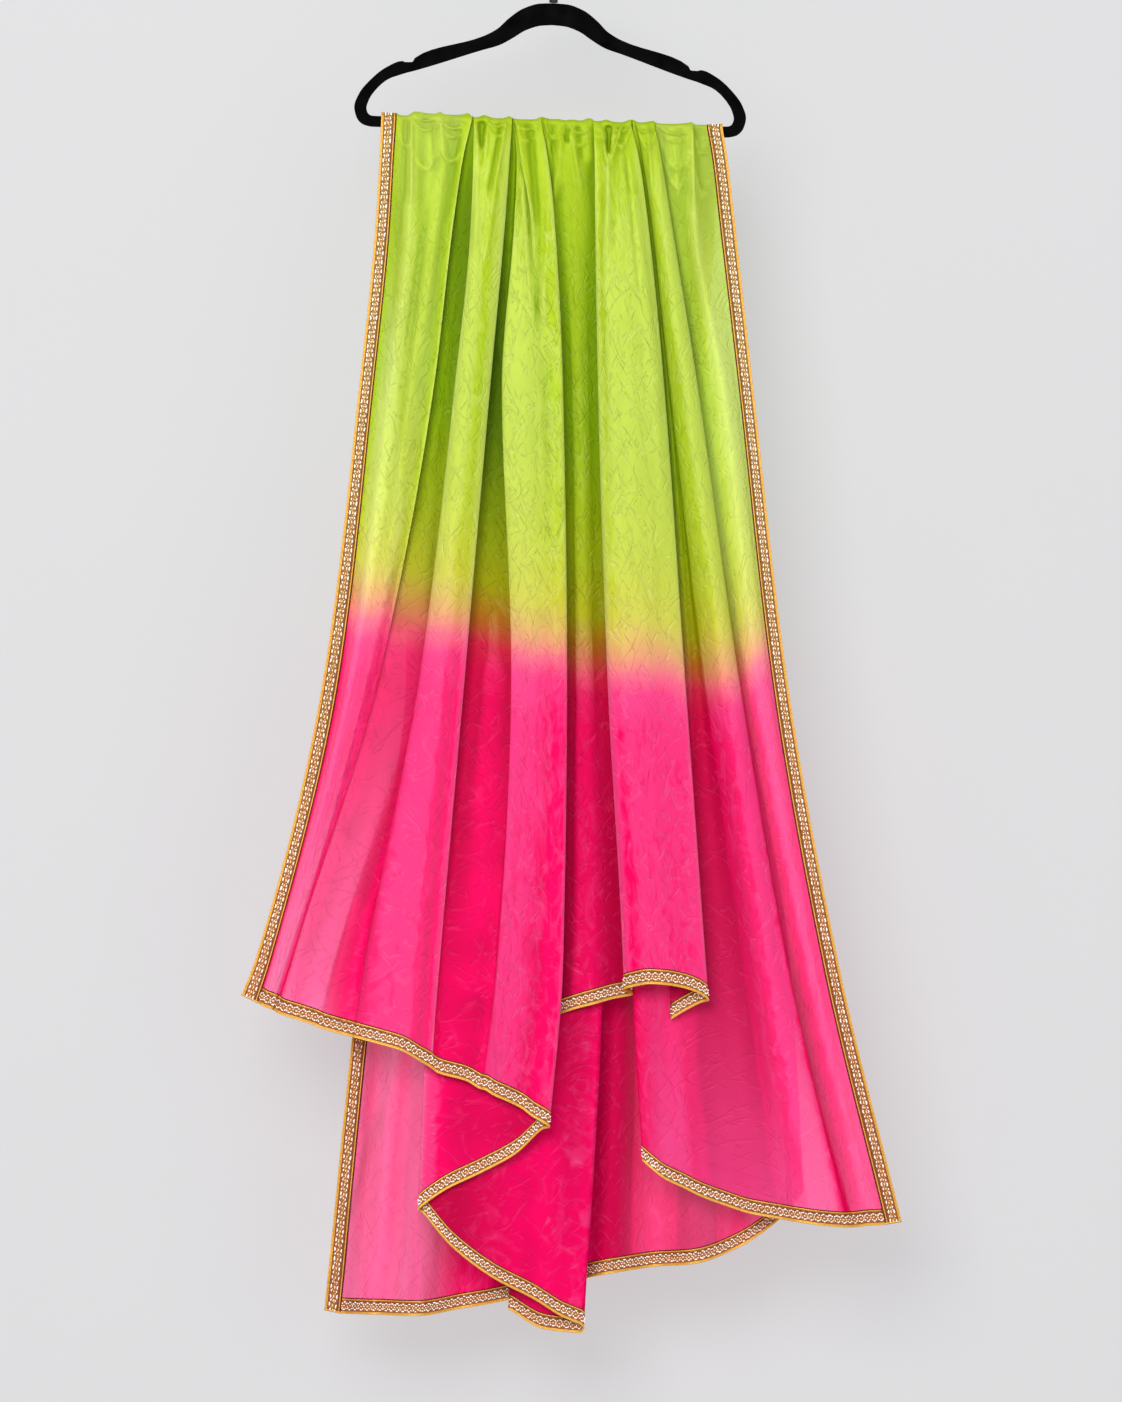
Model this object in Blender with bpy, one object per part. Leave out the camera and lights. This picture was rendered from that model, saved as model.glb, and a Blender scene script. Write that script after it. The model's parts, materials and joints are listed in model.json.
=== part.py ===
"""A two-tone dupatta stole folded over the bar of a flocked clothes hanger.

The origin is the inside top of the hanger's hook, where a rail carries it. +X is to the
viewer's right, +Y runs away from the viewer and +Z is up. All sizes below are in
millimetres and are turned into metres as the meshes are made.
"""

import math
from collections import namedtuple

import bmesh
import bpy
import numpy as np

MM = 0.001

# The hanger, in its own upright frame. It hangs a little to one side of level.
TILT = math.radians(1.75)
BAR_TOP = -217.0
BAR_HEIGHT = 12.5
FRAME_THICKNESS = 5.0
FRAME_EDGE = 2.0
NECK_TOP = -83.0
HOOK_WIRE = 4.0
HOOK_INSIDE = 20.0
HOOK_TIP_ANGLE = math.radians(-35)
COLLAR_RADIUS = 5.0
COLLAR_HEIGHT = 12.0

# The cloth and its lace border.
THICKNESS = 1.4
LACE_WIDTH = 18.0
SEAM = 0.4
HEM_SEAM = 0.95  # down a fold line; the hem slants, so across the seam it is less
OVER_BAR = 4.0  # from the middle of the bar to the middle of the cloth, at the bar
BAR_ROUND = 2.5  # the bar's rounded top, as a radius
CREST_GAP = 1.3  # from the bar's top to the middle of the cloth
CREST_LIFT = 0.6  # how much of a pleat's reach at the bar lifts it off the bar

# Every fold line runs from the bar down to the hem. Its place across is given at the bar,
# at these distances below the hook, and at the hem.
LEVELS = (330, 520, 840, 1170)
# The share of a fold's full reach that it has at the bar, at LEVELS and at the hem.
GROWTH = {
    "rise": (0.10, 0.42, 0.70, 0.88, 0.98, 1.0),
    "late": (0.05, 0.10, 0.20, 0.42, 0.78, 1.0),
    "slack": (0.0, 0.07, 0.20, 0.50, 0.90, 1.0),
}
# down is how far below the hook the fold's hem hangs. reach is how far in front of the
# hanger's plane the fold stands at the hem; behind it is negative.
Fold = namedtuple("Fold", "name bar at_330 at_520 at_840 at_1170 hem down reach growth")

# The front of the cloth is three stretches, which meet in hidden hollows between pleats.
FRONT_LEFT = [
    Fold("lace edge", -198, -204, -223, -262, -341, -356, 1208, 24, "slack"),
    Fold("lace inner", -181, -188, -207, -244, -323, -338, 1217, 23, "slack"),
    Fold("first crest", -148, -152, -172, -217, -313, -329, 1221, 26, "rise"),
    Fold("first edge", -100, -114, -138, -195, -305, -321, 1225, 28, "rise"),
    Fold("first hollow", -96, -107, -125, -173, -276, -284, 1238, 18, "late"),
    Fold("second left", -91, -100, -116, -155, -211, -222, 1256, 38, "rise"),
    Fold("second crest", -74, -80, -96, -130, -174, -177, 1271, 46, "rise"),
    Fold("second right", -52, -56, -76, -102, -131, -138, 1290, 40, "rise"),
    Fold("second hollow", -47, -51, -68, -80, -106, -111, 1304, 38, "late"),
    Fold("third left", -43, -39, -60, -49, -66, -86, 1315, 42, "rise"),
    Fold("third crest", -29, -23, -26, -17, -29, -46, 1331, 50, "rise"),
    Fold("third right", -16.5, -1, 10, 13, 9, -7, 1357, 48, "rise"),
    Fold("turned under", -15, -2.5, 7.5, 10, 5, -11.5, 1358, 43, "rise"),
    Fold("under middle", -13.5, -7.5, -3, -12, -57, -80, 1413, 29, "rise"),
    Fold("cascade left", -12, -13, -20, -46, -142, -156, 1452, 25, "late"),
    Fold("turned back", -11, -12, -16.5, -40, -136, -151, 1453, 20, "late"),
    Fold("cascade middle", -10, -8.5, -6, -12, -46, -63, 1532, 16, "late"),
    Fold("cascade right", -8.8, -5.3, 7, 41, 53, 32, 1583, 13, "late"),
    Fold("tucked", -8.2, -4.8, 6, 38, 48, 27, 1584, 7, "late"),
    Fold("tucked end", -7.4, -4, -3, -12, -35, -54, 1553, 2.5, "late"),
]
FRONT_CENTRE = [
    Fold("hidden start", -6, -3, 1, -1, -7, -14, 1234, 23, "rise"),
    Fold("hollow left", 2, 6, 14, 19, 14, 7, 1229, 24, "late"),
    Fold("hollow ridge", 13, 24, 28, 32, 39, 41, 1219, 26, "rise"),
    Fold("hollow right", 38, 46, 52, 61, 81, 83, 1208, 18, "late"),
    Fold("fourth left", 43, 45, 48, 56, 75.5, 77, 1202, 38, "rise"),
    Fold("fourth crest", 56, 58, 65, 85, 105, 107, 1195, 50, "rise"),
    Fold("fourth shoulder", 73, 85, 97, 119, 144, 144, 1200, 48, "rise"),
    Fold("fourth right", 88, 105, 123, 145, 170, 173, 1214, 42, "rise"),
    Fold("turned under", 89, 103, 120, 141, 166, 169, 1216, 37, "rise"),
    Fold("hidden end", 90.5, 96, 102, 113, 128, 130, 1234, 26, "rise"),
]
FRONT_RIGHT = [
    Fold("hidden start", 91.7, 98.5, 113, 115, 114, 119, 1401, 5, "late"),
    Fold("left edge", 92.8, 100, 97, 92.5, 87, 98, 1396, 15, "late"),
    Fold("fifth ridge", 95, 104, 111, 114, 122, 128, 1418, 22, "late"),
    Fold("fifth crease", 97.5, 108, 123, 141, 150, 169, 1437, 14, "late"),
    Fold("fifth hollow", 100.5, 113, 131, 154, 189, 212, 1452, 9, "late"),
    Fold("sixth left", 104, 116, 136, 164, 214, 254, 1462, 22, "rise"),
    Fold("sixth crest", 108.5, 123, 148, 184, 239, 298, 1468, 38, "rise"),
    Fold("sixth right", 114, 131, 162, 206, 264, 334, 1470, 30, "rise"),
    Fold("last hollow", 123, 144, 175, 217, 278, 350, 1470, 12, "rise"),
    Fold("last ridge", 156, 156, 189, 229, 290, 364, 1469, 20, "rise"),
    Fold("lace inner", 172, 186, 208, 244, 302, 374, 1468, 20, "slack"),
    Fold("lace edge", 189.5, 203, 224, 261, 320, 392, 1465, 20, "slack"),
]
BACK = [
    Fold("lace edge", -198, -191, -180, -170, -221, -263, 1567, -8, "slack"),
    Fold("lace inner", -181, -174, -163, -153, -204, -245, 1571, -9, "slack"),
    Fold("back crest 1", -142, -138, -130, -118, -171, -208, 1574, -26, "rise"),
    Fold("back hollow 1", -106, -104, -97, -83, -131, -160, 1574, -7, "rise"),
    Fold("back crest 2", -66, -66, -62, -49, -82, -106, 1567, -30, "rise"),
    Fold("back hollow 2", -26, -28, -24, -14, -29, -46, 1554, -8, "rise"),
    Fold("back crest 3", 12, 10, 12, 21, 23, 12, 1538, -28, "rise"),
    Fold("back hollow 3", 50, 47, 47, 54, 71, 62, 1526, -9, "rise"),
    Fold("back crest 4", 88, 83, 81, 87, 119, 110, 1520, -32, "rise"),
    Fold("back hollow 4", 123, 117, 113, 121, 164, 158, 1515, -10, "rise"),
    Fold("back crest 5", 150, 144, 137, 158, 212, 207, 1498, -24, "rise"),
    Fold("lace inner", 172, 164, 153, 193, 249, 264, 1455, -10, "slack"),
    Fold("lace edge", 189.5, 182, 171, 210, 266, 282, 1432, -9, "slack"),
]

CREST_ANGLES = (90, 60, 30)  # rows of the cloth on its way over the bar, in degrees
FALL_ROWS = 15
FALL_CROWDING = 1.4  # above 1, the rows crowd towards the bar, where the gathers are
SPAN_STEPS = 2  # columns from one fold line to the next

# The hanger's outline at stations from the neck to the middle of the bar, on its right.
Station = namedtuple("Station", "name outer_x outer_z inner_x inner_z steps")
STATIONS = [
    Station("neck", 0, -83, 0, -108, 3),
    Station("arch top", 15, -83.8, 13, -109, 3),
    Station("arch side", 34, -90, 30, -114.5, 3),
    Station("arch foot", 50, -101.5, 45, -124, 2),
    Station("arm turn", 63, -114, 60, -132.5, 2),
    Station("arm start", 78, -122.5, 80, -139, 2),
    Station("arm end", 155, -149.5, 152, -163.5, 1),
    Station("notch start", 158.5, -154.5, 158, -165.3, 1),
    Station("notch end", 166, -154.8, 166, -167.6, 1),
    Station("shoulder start", 169.5, -153.8, 170, -169, 2),
    Station("shoulder", 187, -161, 184, -174.5, 2),
    Station("shoulder end", 205, -176, 197, -185.5, 2),
    Station("end top", 218, -193, 206, -199, 2),
    Station("end middle", 222.5, -207, 208.5, -208, 2),
    Station("end bottom", 219.5, -219.5, 207, -213.5, 2),
    Station("corner", 211, -227.5, 203, -216.6, 1),
    Station("bar end", 200, -229.5, 197, -217, 3),
    Station("bar middle", 0, -229.5, 0, -217, 1),
]

HOOK_ARC_STEPS = 20


def clear_scene():
    for obj in list(bpy.data.objects):
        bpy.data.objects.remove(obj, do_unlink=True)


def material(name, colour, roughness, metallic=0.0):
    made = bpy.data.materials.new(name)
    made.use_nodes = True
    shader = made.node_tree.nodes["Principled BSDF"]
    shader.inputs["Base Color"].default_value = (*colour, 1)
    shader.inputs["Roughness"].default_value = roughness
    shader.inputs["Metallic"].default_value = metallic
    made.diffuse_color = (*colour, 1)
    return made


def new_object(name, mesh, finish):
    made = bpy.data.objects.new(name, mesh)
    made.data.materials.append(finish)
    bpy.context.collection.objects.link(made)
    return made


def smooth(knots, values, places):
    """A smooth curve through values at knots, read at places, that never overshoots."""
    knots = np.asarray(knots, float)
    values = np.asarray(values, float).reshape(len(knots), -1)
    gaps = np.diff(knots)[:, None]
    slopes = np.diff(values, axis=0) / gaps
    turns = np.zeros_like(values)
    turns[0], turns[-1] = slopes[0], slopes[-1]
    before, after = slopes[:-1], slopes[1:]
    same_way = before * after > 0
    weight_a = 2 * gaps[1:] + gaps[:-1]
    weight_b = gaps[1:] + 2 * gaps[:-1]
    with np.errstate(divide="ignore", invalid="ignore"):
        mean = (weight_a + weight_b) / (weight_a / before + weight_b / after)
    turns[1:-1] = np.where(same_way, mean, 0.0)
    places = np.asarray(places, float)
    span = np.clip(np.searchsorted(knots, places, side="right") - 1, 0, len(gaps) - 1)
    gap = gaps[span]
    s = ((places - knots[span])[:, None]) / gap
    return (
        (1 + 2 * s) * (1 - s) ** 2 * values[span]
        + s * (1 - s) ** 2 * gap * turns[span]
        + s**2 * (3 - 2 * s) * values[span + 1]
        + s**2 * (s - 1) * gap * turns[span + 1]
    )


def bar_top(across):
    """Height of the tilted bar's top edge above the origin, at a place across."""
    return BAR_TOP / math.cos(TILT) - math.tan(TILT) * across


def fold_points(fold, falls):
    """A fold line's points: over the bar first, then down it at the shares in falls."""
    side = math.copysign(1.0, fold.reach)
    reach = abs(fold.reach)
    forward = [OVER_BAR + (reach - OVER_BAR) * share for share in GROWTH[fold.growth]]
    extra = forward[0] - OVER_BAR
    centre = bar_top(fold.bar) - BAR_ROUND
    rise = BAR_ROUND + CREST_GAP + CREST_LIFT * extra
    points = []
    for degrees in CREST_ANGLES:
        angle = math.radians(degrees)
        points.append(
            (fold.bar, -side * forward[0] * math.cos(angle), centre + rise * math.sin(angle))
        )
    downs = [-centre, *LEVELS, fold.down]
    across = [fold.bar, fold.at_330, fold.at_520, fold.at_840, fold.at_1170, fold.hem]
    at = downs[0] + np.asarray(falls) * (downs[-1] - downs[0])
    course = smooth(downs, np.column_stack([across, forward]), at)
    points += [(x, -side * f, -down) for (x, f), down in zip(course, at)]
    return np.array(points)


def fall_shares(fold):
    """Shares of the way down for each row: to the lace's seam, its inner edge, the hem."""
    length = fold.down + bar_top(fold.bar) - BAR_ROUND
    lace = 1 - LACE_WIDTH / length
    seam = lace - HEM_SEAM / length
    rows = (np.arange(FALL_ROWS) / (FALL_ROWS - 1)) ** FALL_CROWDING * seam
    return [*rows, lace, 1.0]


def across_places(row):
    """Where a row's fold points lie along a smooth course, and where its columns go."""
    steps = np.linalg.norm(np.diff(row, axis=0), axis=1)
    knots = np.concatenate([[0.0], np.cumsum(np.sqrt(steps))])
    places = []
    for start, end in zip(knots[:-1], knots[1:]):
        places += [start + (end - start) * i / SPAN_STEPS for i in range(SPAN_STEPS)]
    return knots, [*places, knots[-1]]


def sheet_grid(folds):
    """The sheet's middle surface as rows of points, and its unit normals."""
    rails = np.stack([fold_points(fold, fall_shares(fold)) for fold in folds], axis=1)
    grid = []
    for row in rails:
        knots, places = across_places(row)
        grid.append(smooth(knots, row, places))
    grid = np.array(grid)
    down = np.gradient(grid, axis=0)
    along = np.gradient(grid, axis=1)
    normals = np.cross(down, along)
    normals[0] = (0, 0, 1)
    normals /= np.linalg.norm(normals, axis=2, keepdims=True)
    if folds[0].reach < 0:
        normals[1:] *= -1
    normals[-3] = normals[-2]
    return grid, normals


def inset(grid, column, towards, distance):
    """Moves one column of the grid a distance towards its neighbour."""
    step = grid[:, towards] - grid[:, column]
    step /= np.linalg.norm(step, axis=1, keepdims=True)
    grid[:, column] += step * distance


def wall(name, grid, normals, finish):
    """A closed wall of cloth or lace about a grid of points."""
    rows, columns = grid.shape[:2]
    half = normals * THICKNESS / 2
    corners = np.concatenate([(grid + half).reshape(-1, 3), (grid - half).reshape(-1, 3)])
    back = rows * columns
    faces = []
    for i in range(rows - 1):
        for j in range(columns - 1):
            a, b = i * columns + j, i * columns + j + 1
            c, d = b + columns, a + columns
            faces.append((a, b, c, d))
            faces.append((back + d, back + c, back + b, back + a))
    rim = [i * columns for i in range(rows)]
    rim += [(rows - 1) * columns + j for j in range(1, columns)]
    rim += [i * columns + columns - 1 for i in range(rows - 2, -1, -1)]
    rim += [j for j in range(columns - 2, 0, -1)]
    for a, b in zip(rim, rim[1:] + rim[:1]):
        low, high = min(a, b), max(a, b)
        faces.append((low, high, back + high))
        faces.append((low, back + high, back + low))
    mesh = bpy.data.meshes.new(name)
    mesh.from_pydata((corners * MM).tolist(), [], faces)
    shell = bmesh.new()
    shell.from_mesh(mesh)
    bmesh.ops.recalc_face_normals(shell, faces=shell.faces)
    shell.to_mesh(mesh)
    shell.free()
    mesh.shade_smooth()
    mesh.set_sharp_from_angle(angle=math.radians(50))
    return new_object(name, mesh, finish)


def cloth_and_hem(name, folds, cloth_finish, lace_finish, edge_first=False, edge_last=False):
    """One stretch of cloth and the lace along its hem. Gives the grid for side laces."""
    grid, normals = sheet_grid(folds)
    first = SPAN_STEPS if edge_first else 0
    last = grid.shape[1] - 1 - (SPAN_STEPS if edge_last else 0)
    panel = grid[:, first : last + 1].copy()
    panel_normals = normals[:, first : last + 1]
    if edge_first:
        inset(panel, 0, 1, SEAM)
    if edge_last:
        inset(panel, -1, -2, SEAM)
    behind = math.copysign(1.0, folds[0].reach)
    cloth = panel[:-2].copy()
    cloth[0, :, 1] -= behind * SEAM / 2
    wall("cloth_" + name, cloth, panel_normals[:-2], cloth_finish)
    wall("lace_hem_" + name, panel[-2:], panel_normals[-2:], lace_finish)
    return grid, normals


def side_lace(name, front, back, columns, finish):
    """The lace along one side: up the front, over the bar and down the back."""
    points = np.concatenate([front[0][::-1, columns], back[0][1:, columns]])
    normals = np.concatenate([front[1][::-1, columns], back[1][1:, columns]])
    wall(name, points, normals, finish)


def hanger_half():
    """The outline's points from the neck to the bar's middle: outer, then inner."""
    outer = np.array([(s.outer_x, s.outer_z) for s in STATIONS], float)
    inner = np.array([(s.inner_x, s.inner_z) for s in STATIONS], float)
    steps = np.linalg.norm(np.diff(outer, axis=0), axis=1)
    knots = np.concatenate([[0.0], np.cumsum(steps)])
    places = []
    for station, start, end in zip(STATIONS, knots[:-1], knots[1:]):
        places += [start + (end - start) * i / station.steps for i in range(station.steps)]
    places.append(knots[-1])
    return smooth(knots, outer, places), smooth(knots, inner, places)


def hanger_frame(finish):
    """The flocked body: one ring of rounded sections, neck, arms, shoulders and bar."""
    outer, inner = hanger_half()
    mirror = np.array([-1.0, 1.0])
    outer = np.concatenate([outer, outer[-2:0:-1] * mirror])
    inner = np.concatenate([inner, inner[-2:0:-1] * mirror])
    face = FRAME_THICKNESS / 2
    side = face - FRAME_EDGE
    shell = bmesh.new()
    rings = []
    for out, into in zip(outer, inner):
        edge = (out - into) / np.linalg.norm(out - into) * FRAME_EDGE
        section = [
            (into, side),
            (into + edge, face),
            (out - edge, face),
            (out, side),
            (out, -side),
            (out - edge, -face),
            (into + edge, -face),
            (into, -side),
        ]
        rings.append([shell.verts.new((p[0] * MM, y * MM, p[1] * MM)) for p, y in section])
    for ring, following in zip(rings, rings[1:] + rings[:1]):
        for i in range(len(ring)):
            j = (i + 1) % len(ring)
            shell.faces.new((ring[i], ring[j], following[j], following[i]))
    bmesh.ops.recalc_face_normals(shell, faces=shell.faces)
    mesh = bpy.data.meshes.new("hanger_frame")
    shell.to_mesh(mesh)
    shell.free()
    mesh.shade_smooth()
    mesh.set_sharp_from_angle(angle=math.radians(50))
    return new_object("hanger_frame", mesh, finish)


def hook_course():
    """The hook wire's centre line from the neck up, with its radius at each point."""
    wire = HOOK_WIRE / 2
    arc = HOOK_INSIDE + wire
    bottom = NECK_TOP + SEAM
    collar_top = bottom + COLLAR_HEIGHT
    course = [
        (0, bottom, COLLAR_RADIUS),
        (0, collar_top - 1.5, COLLAR_RADIUS),
        (0, collar_top, COLLAR_RADIUS - 1.5),
        (0, collar_top + 0.5, wire),
        (0, collar_top + 5, wire),
        (-2.5, collar_top + 11, wire),
        (-8.5, collar_top + 18, wire),
    ]
    start, end = math.radians(205), HOOK_TIP_ANGLE
    for i in range(HOOK_ARC_STEPS + 1):
        angle = start + (end - start) * i / HOOK_ARC_STEPS
        course.append((arc * math.cos(angle), -HOOK_INSIDE + arc * math.sin(angle), wire))
    return course


def hanger_hook(finish):
    """The wire hook and the collar at its foot, as one swept curve."""
    course = hook_course()
    curve = bpy.data.curves.new("hanger_hook", "CURVE")
    curve.dimensions = "3D"
    curve.bevel_depth = MM
    curve.bevel_resolution = 3
    curve.use_fill_caps = True
    spline = curve.splines.new("POLY")
    spline.points.add(len(course) - 1)
    for point, (x, z, radius) in zip(spline.points, course):
        point.co = (x * MM, 0, z * MM, 1)
        point.radius = radius
    return new_object("hanger_hook", curve, finish)


def hanger():
    flock = material("hanger_flock", (0.01, 0.01, 0.011), 0.95)
    metal = material("hook_metal", (0.015, 0.015, 0.016), 0.4)
    hung = bpy.data.objects.new("hanger", None)
    bpy.context.collection.objects.link(hung)
    hung.rotation_euler = (0, TILT, 0)
    for piece in (hanger_frame(flock), hanger_hook(metal)):
        piece.parent = hung


def dupatta():
    silk = material("dupatta_silk", (0.75, 0.05, 0.25), 0.45)
    lace = material("gold_lace", (0.70, 0.42, 0.12), 0.4, 0.3)
    left = cloth_and_hem("front_left", FRONT_LEFT, silk, lace, edge_first=True)
    cloth_and_hem("front_centre", FRONT_CENTRE, silk, lace)
    right = cloth_and_hem("front_right", FRONT_RIGHT, silk, lace, edge_last=True)
    back = cloth_and_hem("back", BACK, silk, lace, edge_first=True, edge_last=True)
    last = slice(-1 - SPAN_STEPS, None)
    side_lace("lace_side_left", left, back, slice(0, SPAN_STEPS + 1), lace)
    side_lace("lace_side_right", right, back, last, lace)


def main():
    clear_scene()
    hanger()
    dupatta()
    bpy.context.view_layer.update()


main()
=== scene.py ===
"""Looks of a two-tone sheer dupatta stole with beaded gold lace, hung over a hanger's bar."""

import json
import math
from collections import namedtuple

import bmesh
import bpy
import numpy as np
from mathutils import Vector
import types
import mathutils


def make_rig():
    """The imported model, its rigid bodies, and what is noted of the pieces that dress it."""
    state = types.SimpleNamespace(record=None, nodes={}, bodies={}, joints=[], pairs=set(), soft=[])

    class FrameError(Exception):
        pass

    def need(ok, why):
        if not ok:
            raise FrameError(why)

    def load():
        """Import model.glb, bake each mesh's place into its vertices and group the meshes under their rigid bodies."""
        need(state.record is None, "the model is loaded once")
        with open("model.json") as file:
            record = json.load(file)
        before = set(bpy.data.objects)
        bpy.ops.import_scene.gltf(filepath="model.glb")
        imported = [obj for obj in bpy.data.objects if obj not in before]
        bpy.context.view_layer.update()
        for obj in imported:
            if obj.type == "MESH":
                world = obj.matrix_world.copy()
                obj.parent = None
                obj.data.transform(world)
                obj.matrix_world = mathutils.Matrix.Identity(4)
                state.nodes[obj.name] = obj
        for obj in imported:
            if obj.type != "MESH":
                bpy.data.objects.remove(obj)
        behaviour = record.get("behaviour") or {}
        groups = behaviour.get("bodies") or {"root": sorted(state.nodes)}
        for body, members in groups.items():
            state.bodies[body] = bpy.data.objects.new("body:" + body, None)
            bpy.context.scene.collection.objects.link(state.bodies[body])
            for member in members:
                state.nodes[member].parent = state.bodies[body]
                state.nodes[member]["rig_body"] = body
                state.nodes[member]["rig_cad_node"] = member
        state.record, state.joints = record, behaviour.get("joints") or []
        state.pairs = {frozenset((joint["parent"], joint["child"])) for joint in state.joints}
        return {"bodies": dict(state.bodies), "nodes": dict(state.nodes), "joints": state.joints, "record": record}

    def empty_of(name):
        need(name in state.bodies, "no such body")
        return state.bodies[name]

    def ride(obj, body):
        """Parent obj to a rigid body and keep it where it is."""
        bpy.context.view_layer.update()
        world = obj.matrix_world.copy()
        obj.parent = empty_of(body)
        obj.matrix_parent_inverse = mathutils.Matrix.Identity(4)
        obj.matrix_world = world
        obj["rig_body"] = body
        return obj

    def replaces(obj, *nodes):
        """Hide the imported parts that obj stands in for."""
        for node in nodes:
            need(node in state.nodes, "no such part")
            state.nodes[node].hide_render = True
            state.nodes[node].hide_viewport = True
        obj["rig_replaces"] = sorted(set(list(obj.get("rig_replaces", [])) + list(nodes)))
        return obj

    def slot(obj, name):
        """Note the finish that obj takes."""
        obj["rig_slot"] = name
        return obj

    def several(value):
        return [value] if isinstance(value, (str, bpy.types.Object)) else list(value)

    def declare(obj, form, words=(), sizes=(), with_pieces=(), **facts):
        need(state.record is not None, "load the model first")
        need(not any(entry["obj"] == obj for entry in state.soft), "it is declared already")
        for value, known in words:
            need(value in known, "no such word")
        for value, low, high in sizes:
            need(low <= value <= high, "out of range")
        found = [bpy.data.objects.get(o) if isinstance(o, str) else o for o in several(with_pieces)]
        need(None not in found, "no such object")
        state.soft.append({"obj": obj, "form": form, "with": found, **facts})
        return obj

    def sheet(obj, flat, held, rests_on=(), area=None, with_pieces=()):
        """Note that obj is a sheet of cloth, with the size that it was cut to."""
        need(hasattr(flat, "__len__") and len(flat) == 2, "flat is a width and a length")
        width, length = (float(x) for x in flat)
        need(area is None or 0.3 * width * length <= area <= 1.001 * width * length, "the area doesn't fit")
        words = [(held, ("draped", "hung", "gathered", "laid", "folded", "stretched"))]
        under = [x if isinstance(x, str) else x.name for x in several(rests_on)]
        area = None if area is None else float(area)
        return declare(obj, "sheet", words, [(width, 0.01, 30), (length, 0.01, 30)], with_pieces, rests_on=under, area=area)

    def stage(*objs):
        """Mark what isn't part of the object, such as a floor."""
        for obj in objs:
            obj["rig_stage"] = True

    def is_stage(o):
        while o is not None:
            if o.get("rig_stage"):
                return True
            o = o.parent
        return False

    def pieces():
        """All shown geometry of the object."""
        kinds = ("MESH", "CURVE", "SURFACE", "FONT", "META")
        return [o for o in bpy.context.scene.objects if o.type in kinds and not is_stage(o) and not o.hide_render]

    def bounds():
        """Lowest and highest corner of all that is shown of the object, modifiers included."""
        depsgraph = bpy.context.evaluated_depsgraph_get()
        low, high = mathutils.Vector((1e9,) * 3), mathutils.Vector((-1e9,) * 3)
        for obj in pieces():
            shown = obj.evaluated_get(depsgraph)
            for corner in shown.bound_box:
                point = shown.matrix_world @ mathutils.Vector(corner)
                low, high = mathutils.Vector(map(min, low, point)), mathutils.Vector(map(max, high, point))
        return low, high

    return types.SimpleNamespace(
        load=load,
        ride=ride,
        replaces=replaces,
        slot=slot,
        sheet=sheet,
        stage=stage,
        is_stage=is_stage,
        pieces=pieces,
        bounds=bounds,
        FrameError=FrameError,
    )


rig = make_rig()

MM = 0.001

# ---------------------------------------------------------------- the cloth, in millimetres
TILT = math.radians(1.75)  # the hanging object's turn about the hook
BAR_TOP = -217.0
BAR_ROUND = 2.5
LACE_WIDTH = 18.0

# Places down the cloth, as distances below the hook, at which each fold is described.
# The first is the bar itself and the last is the hem.
LEVELS = (260, 330, 520, 840, 1170)

# One line along the cloth from the bar to the hem. x is its place across and front how far
# it stands before the hanger's plane, at the bar, at LEVELS and at the hem. hem is how far
# below the hook it ends, and turn how far below the hook green turns into pink.
Fold = namedtuple("Fold", "x front hem turn deep sheer", defaults=("open", "dense"))

# Painted shade and painted highlight on each fold, at the bar, at LEVELS and at the hem: up to 1
# its colour turns towards the shaded dye as painted shade, past 1 it is darkened further as
# painted shade in the darkest pits, and below 0 it is lightened as a fold's painted bright edge.
PAINTED_SHADING = {
    "open": (0, 0, -0.05, -0.15, -0.08, 0, 0),
    "rich": (0.1, 0.2, 0.3, 0.4, 0.5, 0.5, 0.5),
    "shade": (0.1, 0.15, 0.3, 0.5, 0.5, 0.4, 0.3),
    "pit": (0.5, 0.8, 1.2, 1.8, 0.6, 0.1, 0.1),
    "dim": (0.3, 0.3, 0.3, 0.4, 0.8, 0.7, 0.1),
    "veil": (0.5, 0.9, 1.4, 0.9, 0.6, 0.4, 0.1),
    "recess": (0.1, 0.2, 0.4, 0.6, 1, 1, 1),
    "gap": (0.5, 1, 1.5, 1.2, 0.4, 0.2, 0.1),
    "low": (0, 0, 0, 0.1, 0.35, 0.5, 0.4),
    "under": (0.5, 0.6, 0.7, 0.7, 0.6, 0.4, 0.4),
    "edge": (0, -0.6, -1, -1, -1, -1, -1),
    "fading": (0, -0.6, -1, -1, -0.4, 0, 0),
    "shine": (0, -0.1, -0.3, -0.5, -0.4, -0.35, -0.35),
    "nook": (0.2, 0.4, 0.6, 0.8, 1, 0.9, 0),
}
# How much a fold lets the wall show through, at the same places.
SHEER = {
    "dense": (0, 0, 0, 0, 0, 0, 0),
    "thin": (0.35, 0.35, 0.25, 0.25, 0.2, 0.2, 0.4),
    "left": (0.1, 0, 0, 0, 0.15, 0.6, 0.9),
    "panel": (0.3, 0.3, 0.35, 0.5, 0.35, 0.3, 0.5),
    "lower": (0, 0, 0, 0, 0.15, 0.3, 0.8),
    "low": (0.35, 0.3, 0.2, 0.35, 0.3, 0.85, 1),
    "faint": (0, 0, 0, 0.05, 0.2, 0.25, 0.25),
    "late": (0, 0, 0, 0, 0.1, 0.2, 0.6),
    "hem": (0, 0, 0, 0, 0, 0.1, 0.7),
    "back": (0.2, 0.2, 0.2, 0.3, 0.45, 0.65, 0.7),
}

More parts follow.
